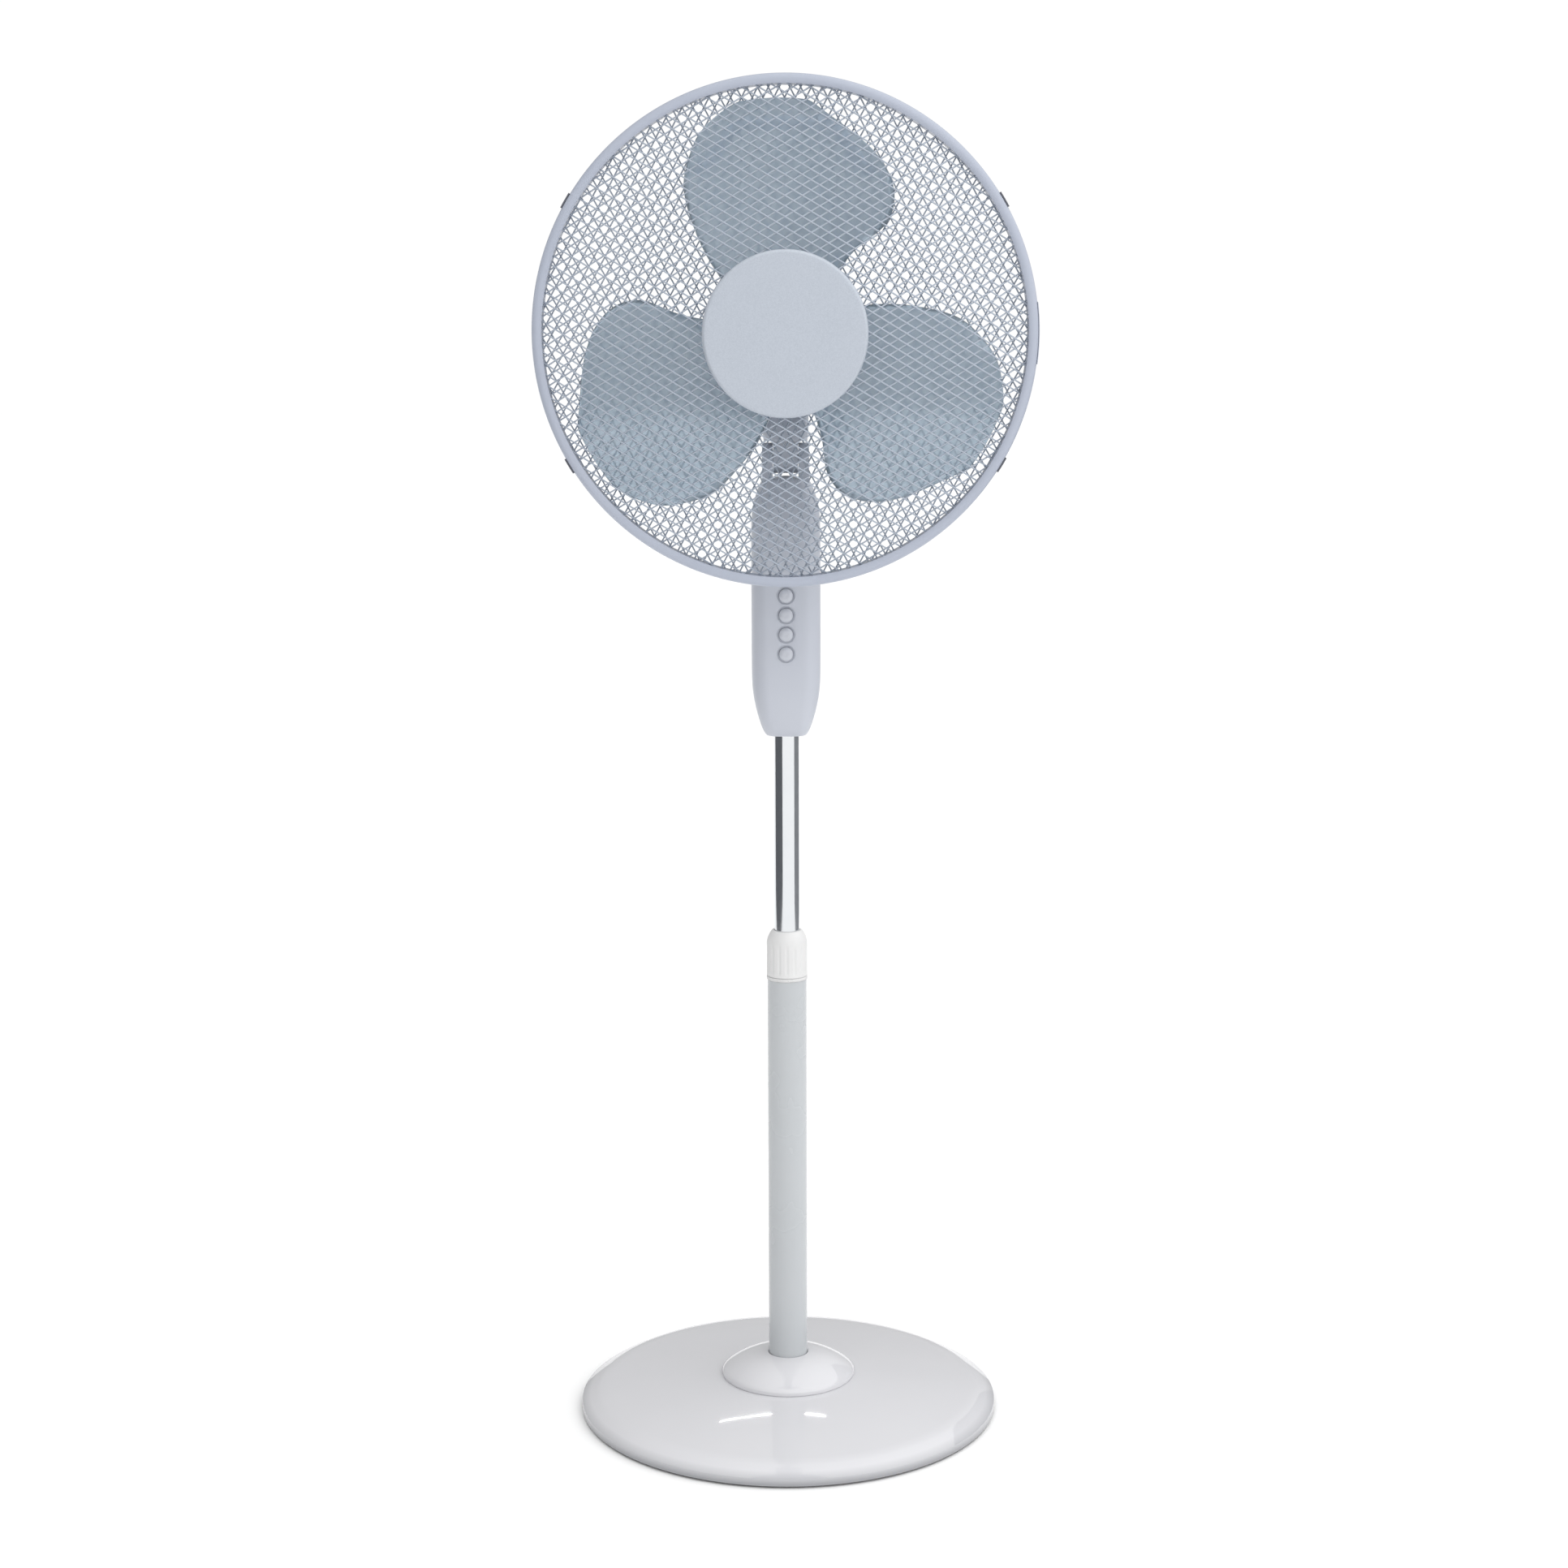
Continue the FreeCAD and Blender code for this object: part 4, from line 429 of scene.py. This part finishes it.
def soft_rubber():
    """Moulded rubber: dark, dull and slightly dusty."""
    material, shader, place = finish_named("moulded rubber")
    noise = cloudy_colour(material, shader, place, "2A2B2D", "1F2022", 6 * MM)
    cloudy_roughness(material, shader, noise, 0.7, 0.85)
    grain(material, shader, place, 0.6 * MM, 0.05 * MM)
    return material


BAND_SPACING = 0.31416  # of a wave texture at scale 1, in metres


def stacked(name, light, dark, pitch, roughness, metallic):
    """Layers side by side, such as a stack of steel sheets or the turns of a winding."""
    material, shader, place = finish_named(name)
    bands = add(material, "ShaderNodeTexWave",
                {"Scale": BAND_SPACING / pitch, "Distortion": 0.4, "Detail": 1},
                {"Vector": (place, "Object")}, wave_type="BANDS", bands_direction="Y")
    blended_colour(material, shader, light, dark, bands, "Fac")
    bump = add(material, "ShaderNodeBump", {"Strength": 0.5, "Distance": pitch / 5},
               {"Height": (bands, "Fac")})
    wire_up(material, shader, "Normal", bump, "Normal")
    shader.inputs["Roughness"].default_value = roughness
    shader.inputs["Metallic"].default_value = metallic
    return material


PEARL = pearl_lacquer()
BOX_GREY = moulded_abs("silver grey abs", "BFC3CC", "B9BDC7", 0.34)
RIM_GREY = moulded_abs("blue grey abs", "AFB5C3", "A7AEBD", 0.3)
NUT_WHITE = moulded_abs("white nylon", "DDDDDD", "D6D6D6", 0.42)
DARK_ABS = moulded_abs("black abs", "2C2D30", "232427", 0.45)
ACETAL = moulded_abs("natural acetal", "ECEAE2", "E2E0D6", 0.35)
# painted shade: the last colour is the darker grey painted on the base's rim near the floor
BASE_WHITE = glossy_polystyrene("white polystyrene", "D3D3D6", "CECED2", "96979B")
BLADE_BLUE = clear_tinted_resin()
WIRE_COAT = powder_coated_wire()
TUBE_WHITE = enamelled_tube()
CHROME = bright_chrome()
BUTTON_GREY = glossy_polystyrene("glossy grey plastic", "C0C3CB", "B9BDC6", "B9BDC6")
# painted shade: this dark grey stands in for the shade the rim clips sit in; the steel itself is not
# blackened
SHADED_CLIP_STEEL = plain_metal("spring steel darkened for painted shade", "74767E", "5E6069", 0.35, 1 * MM)
ZINC = plain_metal("zinc plated steel", "C9CBD0", "B5B9C0", 0.3, 1.5 * MM)
GROUND_STEEL = plain_metal("ground steel", "C2C4C8", "AEB1B6", 0.18, 0.8 * MM, (1, 0.08, 1))
IRON = plain_metal("cast iron", "5A5A5C", "464648", 0.6, 2.5 * MM)
CAST_ALUMINIUM = plain_metal("die cast aluminium", "B9BBBE", "A3A6AA", 0.38, 1.2 * MM)
BRONZE = plain_metal("sintered bronze", "B98F5A", "9A7444", 0.4, 0.7 * MM)
RUBBER = soft_rubber()
LAMINATIONS = stacked("laminated steel", "8C9096", "54575C", 0.5 * MM, 0.4, 1)
WINDING = stacked("enamelled copper winding", "C46F34", "8A4519", 0.6 * MM, 0.35, 0.8)

# ---------------------------------------------------------------- base and pole

def base_cover():
    """A wide shallow dish with a broad bevel, a short upright rim and a hollow underside."""
    low, high = heights("base_cover")
    radius = half_width("base_cover")
    wall, soft = 2.5 * MM, 0.6 * MM
    hole, deck = 14 * MM, half_width("base_trim")
    rim = low + 6 * MM
    shoulder = (radius - 17 * MM, low + 15 * MM)
    bevel = (radius - 8.2 * MM, low + 11.1 * MM)
    crown = 1 * MM
    dome_middle = ((deck + shoulder[0]) / 2, (high + shoulder[1]) / 2 + crown)
    top = curve_through((deck, high), dome_middle, shoulder, 14)
    profile = [(hole, high - wall), (hole, high), (deck, high), *top]
    profile += curve_through(shoulder, bevel, (radius - 0.4 * MM, rim + 0.8 * MM), 6)
    profile += [(radius, rim - soft), (radius, low + 0.5 * MM), (radius - soft, low),
                (radius - wall + soft / 2, low), (radius - wall, low + 0.5 * MM),
                (radius - wall, rim - wall / 2)]
    profile += [(x - soft, z - wall) for x, z in reversed([(deck, high), *top])]
    piece = turned("base_cover_shell", profile + profile[:1], steps=192)
    hand_over(smooth(piece, 20), "base", BASE_WHITE, "base_cover")


def base_trim():
    """The dome round the pole's foot."""
    low, high = heights("base_trim")
    radius = half_width("base_trim")
    pole = half_width("outer_pole")
    middle = (pole + (radius - pole) * 0.55, low + (high - low) * 0.74)
    step, wall, soft = low + 4 * MM, 2 * MM, 0.5 * MM
    mouth = pole + 0.4 * MM
    outside = curve_through((radius, step), middle, (mouth + 1 * MM, high), 14)
    profile = [(radius - soft, low), (radius, low + soft), (radius, step - 0.8 * MM), (radius - soft, step),
               *outside, (mouth, high - 0.6 * MM), (mouth, high - wall)]
    profile += [(x - wall / 2, z - wall) for x, z in reversed(outside[3:12])] + [(radius - wall, low)]
    piece = turned("base_trim_dome", profile + profile[:1], steps=144)
    hand_over(smooth(piece, 32), "base", BASE_WHITE, "base_trim")


def tube(node, name, wall):
    """A straight tube with broken edges."""
    low, high = heights(node)
    radius = half_width(node)
    break_edge = 0.3 * MM
    profile = [(radius - break_edge, low), (radius, low + break_edge), (radius, high - break_edge),
               (radius - break_edge, high), (radius - wall, high), (radius - wall, low)]
    return smooth(turned(name, profile + profile[:1]), 40)


def height_lock_nut():
    """A white collar with soft ribs for the fingers and a rounded shoulder."""
    low, high = heights("height_lock_nut")
    radius = half_width("height_lock_nut")
    mouth, bore = half_width("inner_pole") + 0.3 * MM, 15.5 * MM
    soft = 0.5 * MM
    shoulder = high - 12 * MM
    ribs_low, ribs_high = low + 4 * MM, shoulder - 3.5 * MM
    rib_count, rib_depth = 16, 0.7 * MM
    round_top = curve_through((radius, shoulder), (radius - 1.4 * MM, high - 6 * MM),
                              (radius - 4.6 * MM, high - 0.6 * MM), 8)
    profile = [(bore, low), (radius - soft, low), (radius, low + soft), (radius, ribs_low - soft),
               (radius, ribs_low + soft), (radius, ribs_high - 1.5 * MM), (radius, ribs_high - soft),
               (radius, shoulder), *round_top, (radius - 5.4 * MM, high),
               (mouth, high), (mouth, high - 2 * MM), (bore, high - 14 * MM)]
    piece = turned("height_lock_collar", profile + profile[:1], steps=160)
    for vertex in piece.data.vertices:
        x, y, z = vertex.co
        reach = math.hypot(x, y)
        if reach > radius - 0.1 * MM and ribs_low < z < ribs_high:
            dip = rib_depth * max(0, math.cos(rib_count * math.atan2(y, x))) ** 2
            vertex.co.x *= 1 - dip / reach
            vertex.co.y *= 1 - dip / reach
    hand_over(smooth(piece, 40), "lock_nut", NUT_WHITE, "height_lock_nut")


TUBE_WALL = 1.2 * MM


def stand():
    base_cover()
    base_trim()
    hand_over(tube("outer_pole", "outer_tube", TUBE_WALL), "base", TUBE_WHITE, "outer_pole")
    hand_over(tube("inner_pole", "inner_tube", TUBE_WALL), "column", CHROME, "inner_pole")
    height_lock_nut()
    for node in ("lock_bushing", "grip_ring"):
        hand_over(tidy_copy(node, node + "_moulding"), "base", NUT_WHITE, node)
    hand_over(tidy_copy("base_feet", "base_foot_set"), "base", RUBBER, "base_feet")


# ---------------------------------------------------------------- control box

# (height from the box's bottom, half width, depth forwards, depth backwards) in millimetres
BOX_SECTIONS = [
    (0, 16.5, 13.5, 12.5), (1.5, 18.6, 17, 15.5), (6, 21.4, 21, 19), (14, 24.2, 24.6, 22),
    (26, 27.6, 27.2, 24.2), (40, 30.3, 28.5, 25.5), (54, 31.2, 29, 26), (90, 31.2, 29, 26),
    (150, 31.2, 29, 26), (194, 31.2, 28.9, 26), (206, 30.2, 28, 25.2), (216, 27.6, 26, 23.6),
    (226, 23.8, 22.2, 21), (232.4, 21, 19.5, 18.5),
]
CORNER = 9 * MM
TOP_STEPS = ((0.55, 0.3), (0.25, 2.2))  # how far the top draws in and how many millimetres it rises


def box_body():
    """A rounded plate extruded upwards and scaled to each section, then subdivided smooth."""
    bottom = heights("control_rear_shell")[0]
    bpy.ops.object.select_all(action="DESELECT")
    bpy.ops.mesh.primitive_plane_add(size=2, location=(0, 0, 0))
    piece = named("box_body")
    first = BOX_SECTIONS[0]
    width, depth = first[1] * MM, (first[2] + first[3]) / 2 * MM
    middle = (first[3] - first[2]) / 2 * MM
    piece.scale = (width, depth, 1)
    piece.location = (0, middle, bottom)
    bpy.ops.object.transform_apply(location=True, rotation=False, scale=True)
    bpy.ops.object.mode_set(mode="EDIT")
    bpy.ops.mesh.select_all(action="SELECT")
    bpy.ops.mesh.bevel(offset=CORNER, segments=5, affect="VERTICES", clamp_overlap=True)
    height = 0
    for level, half, front, back in BOX_SECTIONS[1:]:
        rise = (level - height) * MM
        bpy.ops.mesh.extrude_region_move(TRANSFORM_OT_translate={"value": (0, 0, rise)})
        new_depth = (front + back) / 2 * MM
        grow = (half * MM / width, new_depth / depth, 1)
        bpy.ops.transform.resize(value=grow, center_override=(0, middle, bottom + level * MM))
        shift = (back - front) / 2 * MM - middle
        bpy.ops.transform.translate(value=(0, shift, 0))
        width, depth, height, middle = half * MM, new_depth, level, middle + shift
    for share, rise in TOP_STEPS:
        bpy.ops.mesh.extrude_region_move(TRANSFORM_OT_translate={"value": (0, 0, rise * MM)})
        bpy.ops.transform.resize(value=(share, share, 1), center_override=(0, middle, bottom + height * MM))
    bpy.ops.object.mode_set(mode="OBJECT")
    settle(piece)
    return finish_with(piece, "SUBSURF", levels=2, render_levels=2)


def button_places():
    """Each button's name and its box in the frame."""
    return [(name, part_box("speed_button_" + name)) for name in ("off", "low", "middle", "high")]


def drill(piece, name, radius, y_from, y_to, height):
    """Cuts a round hole along the Y axis."""
    profile = [(radius, -y_to), (radius, -y_from)]
    tool = closed_turned(name, profile, facing_forwards(height), 48)
    finish_with(piece, "BOOLEAN", operation="DIFFERENCE", object=tool, solver="EXACT")
    bpy.data.objects.remove(tool)


def half_of(whole, name, keep_front, split):
    """A copy of a piece, cut by a plane across the Y axis, with one side kept."""
    piece = whole.copy()
    piece.data = whole.data.copy()
    bpy.context.scene.collection.objects.link(piece)
    piece.name = name
    only(piece)
    bpy.ops.object.mode_set(mode="EDIT")
    bpy.ops.mesh.select_all(action="SELECT")
    bpy.ops.mesh.bisect(plane_co=(0, split, 0), plane_no=(0, 1, 0), use_fill=True, clear_outer=keep_front,
                        clear_inner=not keep_front)
    bpy.ops.object.mode_set(mode="OBJECT")
    return settle(piece)


TILT_RISE = 250 * MM  # of the tilt axis above the box's bottom


def ear(sign):
    """One lug of the tilt joint: a round eye on a straight root."""
    axis_height = heights("control_rear_shell")[0] + TILT_RISE
    thick, radius, aside = 9.4 * MM, 14 * MM, 16.2 * MM
    root, flat_below = axis_height - 26 * MM, axis_height - 20 * MM
    bpy.ops.object.select_all(action="DESELECT")
    bpy.ops.mesh.primitive_cylinder_add(vertices=64, radius=radius, depth=thick,
                                        rotation=(0, math.radians(90), 0),
                                        location=(sign * aside, 0, axis_height))
    piece = named("box_ear")
    bpy.ops.object.transform_apply(location=True, rotation=True, scale=True)
    mesh = piece.data
    for part in (*mesh.vertices, *mesh.edges):
        part.select = False
    for polygon in mesh.polygons:
        polygon.select = polygon.normal.z < -0.05 and abs(polygon.normal.x) < 0.5
    bpy.ops.object.mode_set(mode="EDIT")
    bpy.ops.mesh.select_mode(type="FACE")
    bpy.ops.mesh.extrude_region_move(TRANSFORM_OT_translate={"value": (0, 0, -22 * MM)})
    bpy.ops.object.mode_set(mode="OBJECT")
    for vertex in mesh.vertices:
        if vertex.co.z < flat_below:
            vertex.co.z = root
    settle(piece)
    return rounded(piece, 0.8 * MM, degrees=50)


def control_box():
    """Two half shells, with a round recess and a hole for each button and two lugs on the rear one."""
    whole = box_body()
    split = -6 * MM
    front = half_of(whole, "control_front", True, split)
    rear = half_of(whole, "control_rear", False, split)
    bpy.data.objects.remove(whole)
    for piece in (front, rear):
        rounded(piece, 0.45 * MM, segments=2, degrees=60)
    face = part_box("control_front_shell")[0].y
    for name, (low, high) in button_places():
        height = (low.z + high.z) / 2
        for tool, radius, depth in (("recess_tool", 8 * MM, 1.3 * MM), ("hole_tool", 6.5 * MM, 12 * MM)):
            drill(front, tool, radius, face - 5 * MM, face + depth, height)
    hand_over(smooth(rounded(front, 0.3 * MM, segments=2, degrees=60), 38), "column", BOX_GREY,
              "control_front_shell")
    rear = joined("control_rear", [rear, ear(-1), ear(1)])
    hand_over(smooth(rear, 38), "column", BOX_GREY, "control_rear_shell")
    for name, (low, high) in button_places():
        push_button(name, low, high)


def push_button(name, low, high):
    """A glossy dome on a short stem."""
    radius = (high.x - low.x) / 2
    top, back = -low.y, -high.y
    stem, soft = 2.5 * MM, 0.4 * MM
    skirt, shoulder = top - 12 * MM, top - 2.4 * MM
    profile = [(stem, back), (stem, skirt), (radius - soft, skirt), (radius, skirt + soft),
               (radius, shoulder)]
    profile += curve_through((radius, shoulder), (radius * 0.72, top - 0.55 * MM), (radius * 0.12, top), 9)
    piece = closed_turned("button_" + name, profile, facing_forwards((low.z + high.z) / 2), 48)
    hand_over(smooth(piece, 40), "button_" + name, BUTTON_GREY, "speed_button_" + name)


# ---------------------------------------------------------------- guards

WIRE = 1.3 * MM
WIRE_STEPS = 26
GUARD_HUB = 58 * MM


def wire_net(name, pitch, angle, inner, outer, dome):
    """One set of parallel wires over a dome: a flat grid whose rows become wires, each from rim to middle."""
    half_count = int(outer / pitch)
    rows = 2 * (2 * half_count + 1)

    def row_at(vertex):
        return round((vertex.co.y + 1) / 2 * (rows - 1))

    bpy.ops.object.select_all(action="DESELECT")
    bpy.ops.mesh.primitive_grid_add(x_subdivisions=WIRE_STEPS, y_subdivisions=rows - 1, size=2)
    piece = named(name)
    row_of = [row_at(vertex) for vertex in piece.data.vertices]
    bpy.context.tool_settings.mesh_select_mode = (False, True, False)
    for part in (*piece.data.vertices, *piece.data.polygons):
        part.select = False
    for edge in piece.data.edges:
        edge.select = row_of[edge.vertices[0]] != row_of[edge.vertices[1]]
    bpy.ops.object.mode_set(mode="EDIT")
    bpy.ops.mesh.delete(type="EDGE")
    bpy.ops.object.mode_set(mode="OBJECT")
    turn = math.radians(angle)
    for vertex in piece.data.vertices:
        row = row_at(vertex)
        side = 1 if row % 2 else -1
        offset = (row // 2 - half_count) * pitch
        near = math.sqrt(max(0, inner ** 2 - offset ** 2))
        far = math.sqrt(outer ** 2 - offset ** 2)
        along = side * (near + (far - near) * (vertex.co.x + 1) / 2)
        x = along * math.cos(turn) - offset * math.sin(turn)
        y = along * math.sin(turn) + offset * math.cos(turn)
        vertex.co = (x, y, dome(math.hypot(x, y)))
    only(piece)
    bpy.ops.object.convert(target="CURVE")
    piece = bpy.context.active_object
    piece.data.bevel_depth = WIRE / 2
    piece.data.bevel_resolution = 1
    piece.data.use_fill_caps = True
    bpy.ops.object.convert(target="MESH")
    piece = named(name)
    piece.matrix_world = ON_HEAD @ piece.matrix_world
    bpy.ops.object.transform_apply(location=True, rotation=True, scale=True)
    return smooth(piece, 70)


def domed(inner, middle, rim, edge, bulge):
    """The height of a guard's wires at a radius: flat inside, domed, and flat again under the ring."""
    def height(radius):
        share = min(1, max(0, (radius - inner) / (rim - inner)))
        return middle + (edge - middle) * share + 4 * bulge * share * (1 - share)
    return height


def guard(node, name, pitch, angle, middle, edge, bulge):
    """Two crossing sets of wires, and the sheet ring that they are welded to in the middle."""
    flat_to, rim, outer = 64 * MM, 205 * MM, 210.5 * MM
    layer = 1.1 * MM
    nets = []
    for n, sign in enumerate((1, -1)):
        dome = domed(flat_to, middle + n * layer, rim, edge + n * layer, bulge)
        nets.append(wire_net(f"{node}_net_{n}", pitch, sign * angle, GUARD_HUB, outer, dome))
    hole, plate_edge = 19.4 * MM, GUARD_HUB + 4 * MM
    low, high = middle - 0.4 * MM, middle + 1.6 * MM
    profile = [(hole, low), (plate_edge, low), (plate_edge, high), (hole, high)]
    plate = rounded(turned(f"{node}_hub_plate", profile + profile[:1], ON_HEAD), 0.3 * MM, segments=2)
    nets.append(smooth(plate))
    hand_over(joined(name, nets), "head", WIRE_COAT, node)


def guard_ring():
    """The rim: a rounded band, its mouth filled by the edges of both guards."""
    low, high = ahead("guard_ring")
    crown = 0.06 * MM  # how far the rounded outside swells past its own edge
    outer = half_width("guard_ring") - crown
    inner = outer - 8.6 * MM
    lip, soft = inner + 1.2 * MM, 0.6 * MM
    front = curve_through((lip, high), (outer - 1.3 * MM, high - 1.5 * MM), (outer, high - 6 * MM), 8)
    back = [(x, low + high - z) for x, z in reversed(front)]
    profile = [(inner, high - soft), (lip, high), *front, *back, (lip, low), (inner, low + soft)]
    piece = turned("guard_rim", profile + profile[:1], ON_HEAD, 256)
    hand_over(smooth(piece, 35), "head", RIM_GREY, "guard_ring")


def badge():
    """The plain round cover, slightly crowned, with a soft edge."""
    low, high = ahead("badge_front")
    radius = half_width("badge_front")
    crown, soft = 1.2 * MM, 0.4 * MM
    side = (radius, high - 4.6 * MM)
    edge = curve_through(side, (radius - 0.8 * MM, high - 2.2 * MM), (radius - 3.2 * MM, high - crown), 6)
    face = curve_through(edge[-1], (radius * 0.55, high - 0.35 * MM), (4 * MM, high), 14)
    profile = [(radius - 5 * MM, low), (radius - soft, low), (radius, low + soft), side, *edge, *face]
    piece = closed_turned("badge_cover", profile, ON_HEAD, 160)
    hand_over(smooth(piece, 30), "head", PEARL, "badge_front")


def carry_handle():
    """A bent bar with a foot at each end that reaches the rear guard."""
    low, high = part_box("carry_handle")
    bar = 5.5 * MM
    top, foot = high.z - bar, low.z + bar
    back, reach = high.y - bar, low.y
    wide, narrow = high.x - bar, 42 * MM
    longest_bend, bend_steps = 34 * MM, 8
    route = bpy.data.curves.new("handle_route", "CURVE")
    route.dimensions = "3D"
    spline = route.splines.new("POLY")
    corners = [Vector((-wide, reach, foot)), Vector((-wide, back, foot)), Vector((-narrow, back, top)),
               Vector((narrow, back, top)), Vector((wide, back, foot)), Vector((wide, reach, foot))]
    points = [corners[0]]
    for before, corner, after in zip(corners, corners[1:], corners[2:]):
        room = 0.4 * min((corner - before).length, (after - corner).length, longest_bend)
        start = corner + (before - corner).normalized() * room
        end = corner + (after - corner).normalized() * room
        for n in range(bend_steps + 1):
            t = n / bend_steps
            points.append(start * (1 - t) ** 2 + corner * 2 * t * (1 - t) + end * t ** 2)
    points.append(corners[-1])
    spline.points.add(len(points) - 1)
    for knot, point in zip(spline.points, points):
        knot.co = (*point, 1)
    route.bevel_depth = bar
    route.bevel_resolution = 6
    route.use_fill_caps = True
    handle = bpy.data.objects.new("handle_bar", route)
    bpy.context.scene.collection.objects.link(handle)
    only(handle)
    bpy.ops.object.convert(target="MESH")
    hand_over(smooth(settle(named("handle_bar")), 50), "head", RIM_GREY, "carry_handle")


def head():
    """The guards and their rim, the badge, the handle and the CAD shapes that are seen around them."""
    front_low, front_high = ahead("front_guard")
    rear_low, rear_high = ahead("rear_guard")
    guard("front_guard", "front_wires", pitch=7.4 * MM, angle=31, middle=front_high - 1.7 * MM,
          edge=front_low + 0.8 * MM, bulge=5.4 * MM)
    guard("rear_guard", "rear_wires", pitch=7.9 * MM, angle=61, middle=rear_low + 0.8 * MM,
          edge=rear_high - 2 * MM, bulge=-5.6 * MM)
    guard_ring()
    badge()
    carry_handle()
    for node, name, body, material in (
        ("ring_clip", "rim_clip", "head", RIM_GREY), ("rim_clips", "spring_clips", "head", SHADED_CLIP_STEEL),
        ("badge_plate", "badge_back", "head", WIRE_COAT),
        ("motor_rear_housing", "rear_housing", "head", BOX_GREY),
        ("motor_front_plate", "front_plate", "head", RIM_GREY),
        ("guard_clamp_nut", "rear_guard_nut", "head", RIM_GREY),
        ("oscillation_knob", "swing_knob", "knob", BOX_GREY), ("tilt_bracket", "neck", "neck", BOX_GREY),
        ("fan_blade", "fan", "rotor", BLADE_BLUE), ("blade_lock_nut", "spinner", "rotor", RIM_GREY),
        ("cord_gland", "cord_bush", "column", RUBBER), ("motor_shaft", "shaft", "rotor", GROUND_STEEL),
    ):
        hand_over(tidy_copy(node, name), body, material, node)


# ---------------------------------------------------------------- CAD nodes that stay as they are

INSIDE = {
    "base_weight": IRON, "base_bottom_plate": DARK_ABS, "base_screws": ZINC, "pole_flange": TUBE_WHITE,
    "flange_screws": ZINC, "inner_pole_guide": DARK_ABS, "shell_screws": ZINC, "pole_socket": DARK_ABS,
    "pole_clamp_screw": ZINC, "switch_block": DARK_ABS, "capacitor": DARK_ABS, "tilt_bolt": ZINC,
    "tilt_nut": ZINC, "pivot_bush": ACETAL, "pivot_shaft": GROUND_STEEL, "pivot_retaining_screw": ZINC,
    "link_rod": ZINC, "motor_front_bell": CAST_ALUMINIUM, "motor_rear_bell": CAST_ALUMINIUM,
    "motor_bolts": ZINC, "stator_core": LAMINATIONS, "stator_coils": WINDING, "motor_bearings": BRONZE,
    "rotor_core": LAMINATIONS, "drive_pin": ZINC, "gearbox_case": DARK_ABS, "worm_wheel": ACETAL,
    "oscillation_crank": ACETAL, "housing_screws": ZINC,
}


def finish_cad_nodes():
    """Gives a material to each node that keeps its CAD shape."""
    for node, material in INSIDE.items():
        mesh = NODES[node].data
        mesh.materials.clear()
        mesh.materials.append(material)


# ---------------------------------------------------------------- studio

LIGHT_FROM = (0.5, -0.35, 0.79)
SKY_LOW, SKY_HIGH = 0.45, 1.75
SEEN_SKY = 1.02


def floor():
    """A wide pale floor without a visible edge."""
    bpy.ops.object.select_all(action="DESELECT")
    bpy.ops.mesh.primitive_plane_add(size=STUDIO_SIZE, location=(0, 0, 0))
    piece = named("studio_floor")
    material, shader, _ = finish_named("studio floor")
    shader.inputs["Base Color"].default_value = (0.95, 0.95, 0.95, 1)
    shader.inputs["Roughness"].default_value = 0.9
    shader.inputs["Specular IOR Level"].default_value = 0.1
    piece.data.materials.append(material)


def lamp(name, place, target, width, height, power):
    """A lamp panel that only shows as a reflection."""
    light = bpy.data.lights.new(name, "AREA")
    light.shape = "RECTANGLE"
    light.size = width
    light.size_y = height
    light.energy = power
    holder = bpy.data.objects.new(name, light)
    holder.location = place
    holder.rotation_euler = (Vector(target) - Vector(place)).to_track_quat("-Z", "Y").to_euler()
    holder.visible_camera = False
    holder.visible_diffuse = False
    holder.visible_transmission = False
    bpy.context.scene.collection.objects.link(holder)


def dark_panel(name, place, width, height, colour):
    """A card beside the fan, which only shows in polished surfaces, as black flags do in a studio."""
    bpy.ops.object.select_all(action="DESELECT")
    bpy.ops.mesh.primitive_plane_add(size=1, location=(0, 0, 0))
    piece = named(name)
    piece.scale = (width, height, 1)
    piece.rotation_euler = Vector((place[0], place[1], 0)).to_track_quat("Z", "Y").to_euler()
    piece.location = place
    material, shader, _ = finish_named(name)
    shader.inputs["Base Color"].default_value = linear(colour)
    shader.inputs["Roughness"].default_value = 0.9
    piece.data.materials.append(material)
    piece.visible_camera = False
    piece.visible_diffuse = False
    piece.visible_transmission = False
    piece.visible_shadow = False


def sky():
    """Soft light from above, more of it from the front right, and a plain white background."""
    world = bpy.data.worlds.new("studio")
    world.use_nodes = True
    background = world.node_tree.nodes["Background"]
    background.inputs["Color"].default_value = (1, 1, 1, 1)
    place = add(world, "ShaderNodeTexCoord")
    towards = add(world, "ShaderNodeVectorMath", {1: Vector(LIGHT_FROM).normalized()},
                  {0: (place, "Generated")}, operation="DOT_PRODUCT")
    soft = add(world, "ShaderNodeMapRange", {"To Min": SKY_LOW, "To Max": SKY_HIGH},
               {"Value": (towards, "Value")})
    seen = add(world, "ShaderNodeLightPath")
    strength = add(world, "ShaderNodeMix", {3: SEEN_SKY}, {0: (seen, "Is Camera Ray"), 2: (soft, "Result")})
    world.node_tree.links.new(strength.outputs[0], background.inputs["Strength"])
    bpy.context.scene.world = world


def studio():
    """A white room with soft light, two cards for the chrome tube and a thin lamp behind for the base."""
    floor()
    sky()
    bpy.context.scene.view_settings.view_transform = "Standard"
    dark_panel("left_flag", place=(-1.18, -0.21, 0.6), width=2.2, height=0.9, colour="55575B")
    dark_panel("right_flag", place=(1.1, 0.47, 0.6), width=1.9, height=0.9, colour="8E9094")
    lamp("strip", place=(-0.06, 2.05, 1.47), target=(-0.03, -0.09, 0.03), width=0.42, height=0.003, power=0.4)


set_up_camera()
stand()
control_box()
head()
finish_cad_nodes()
studio()
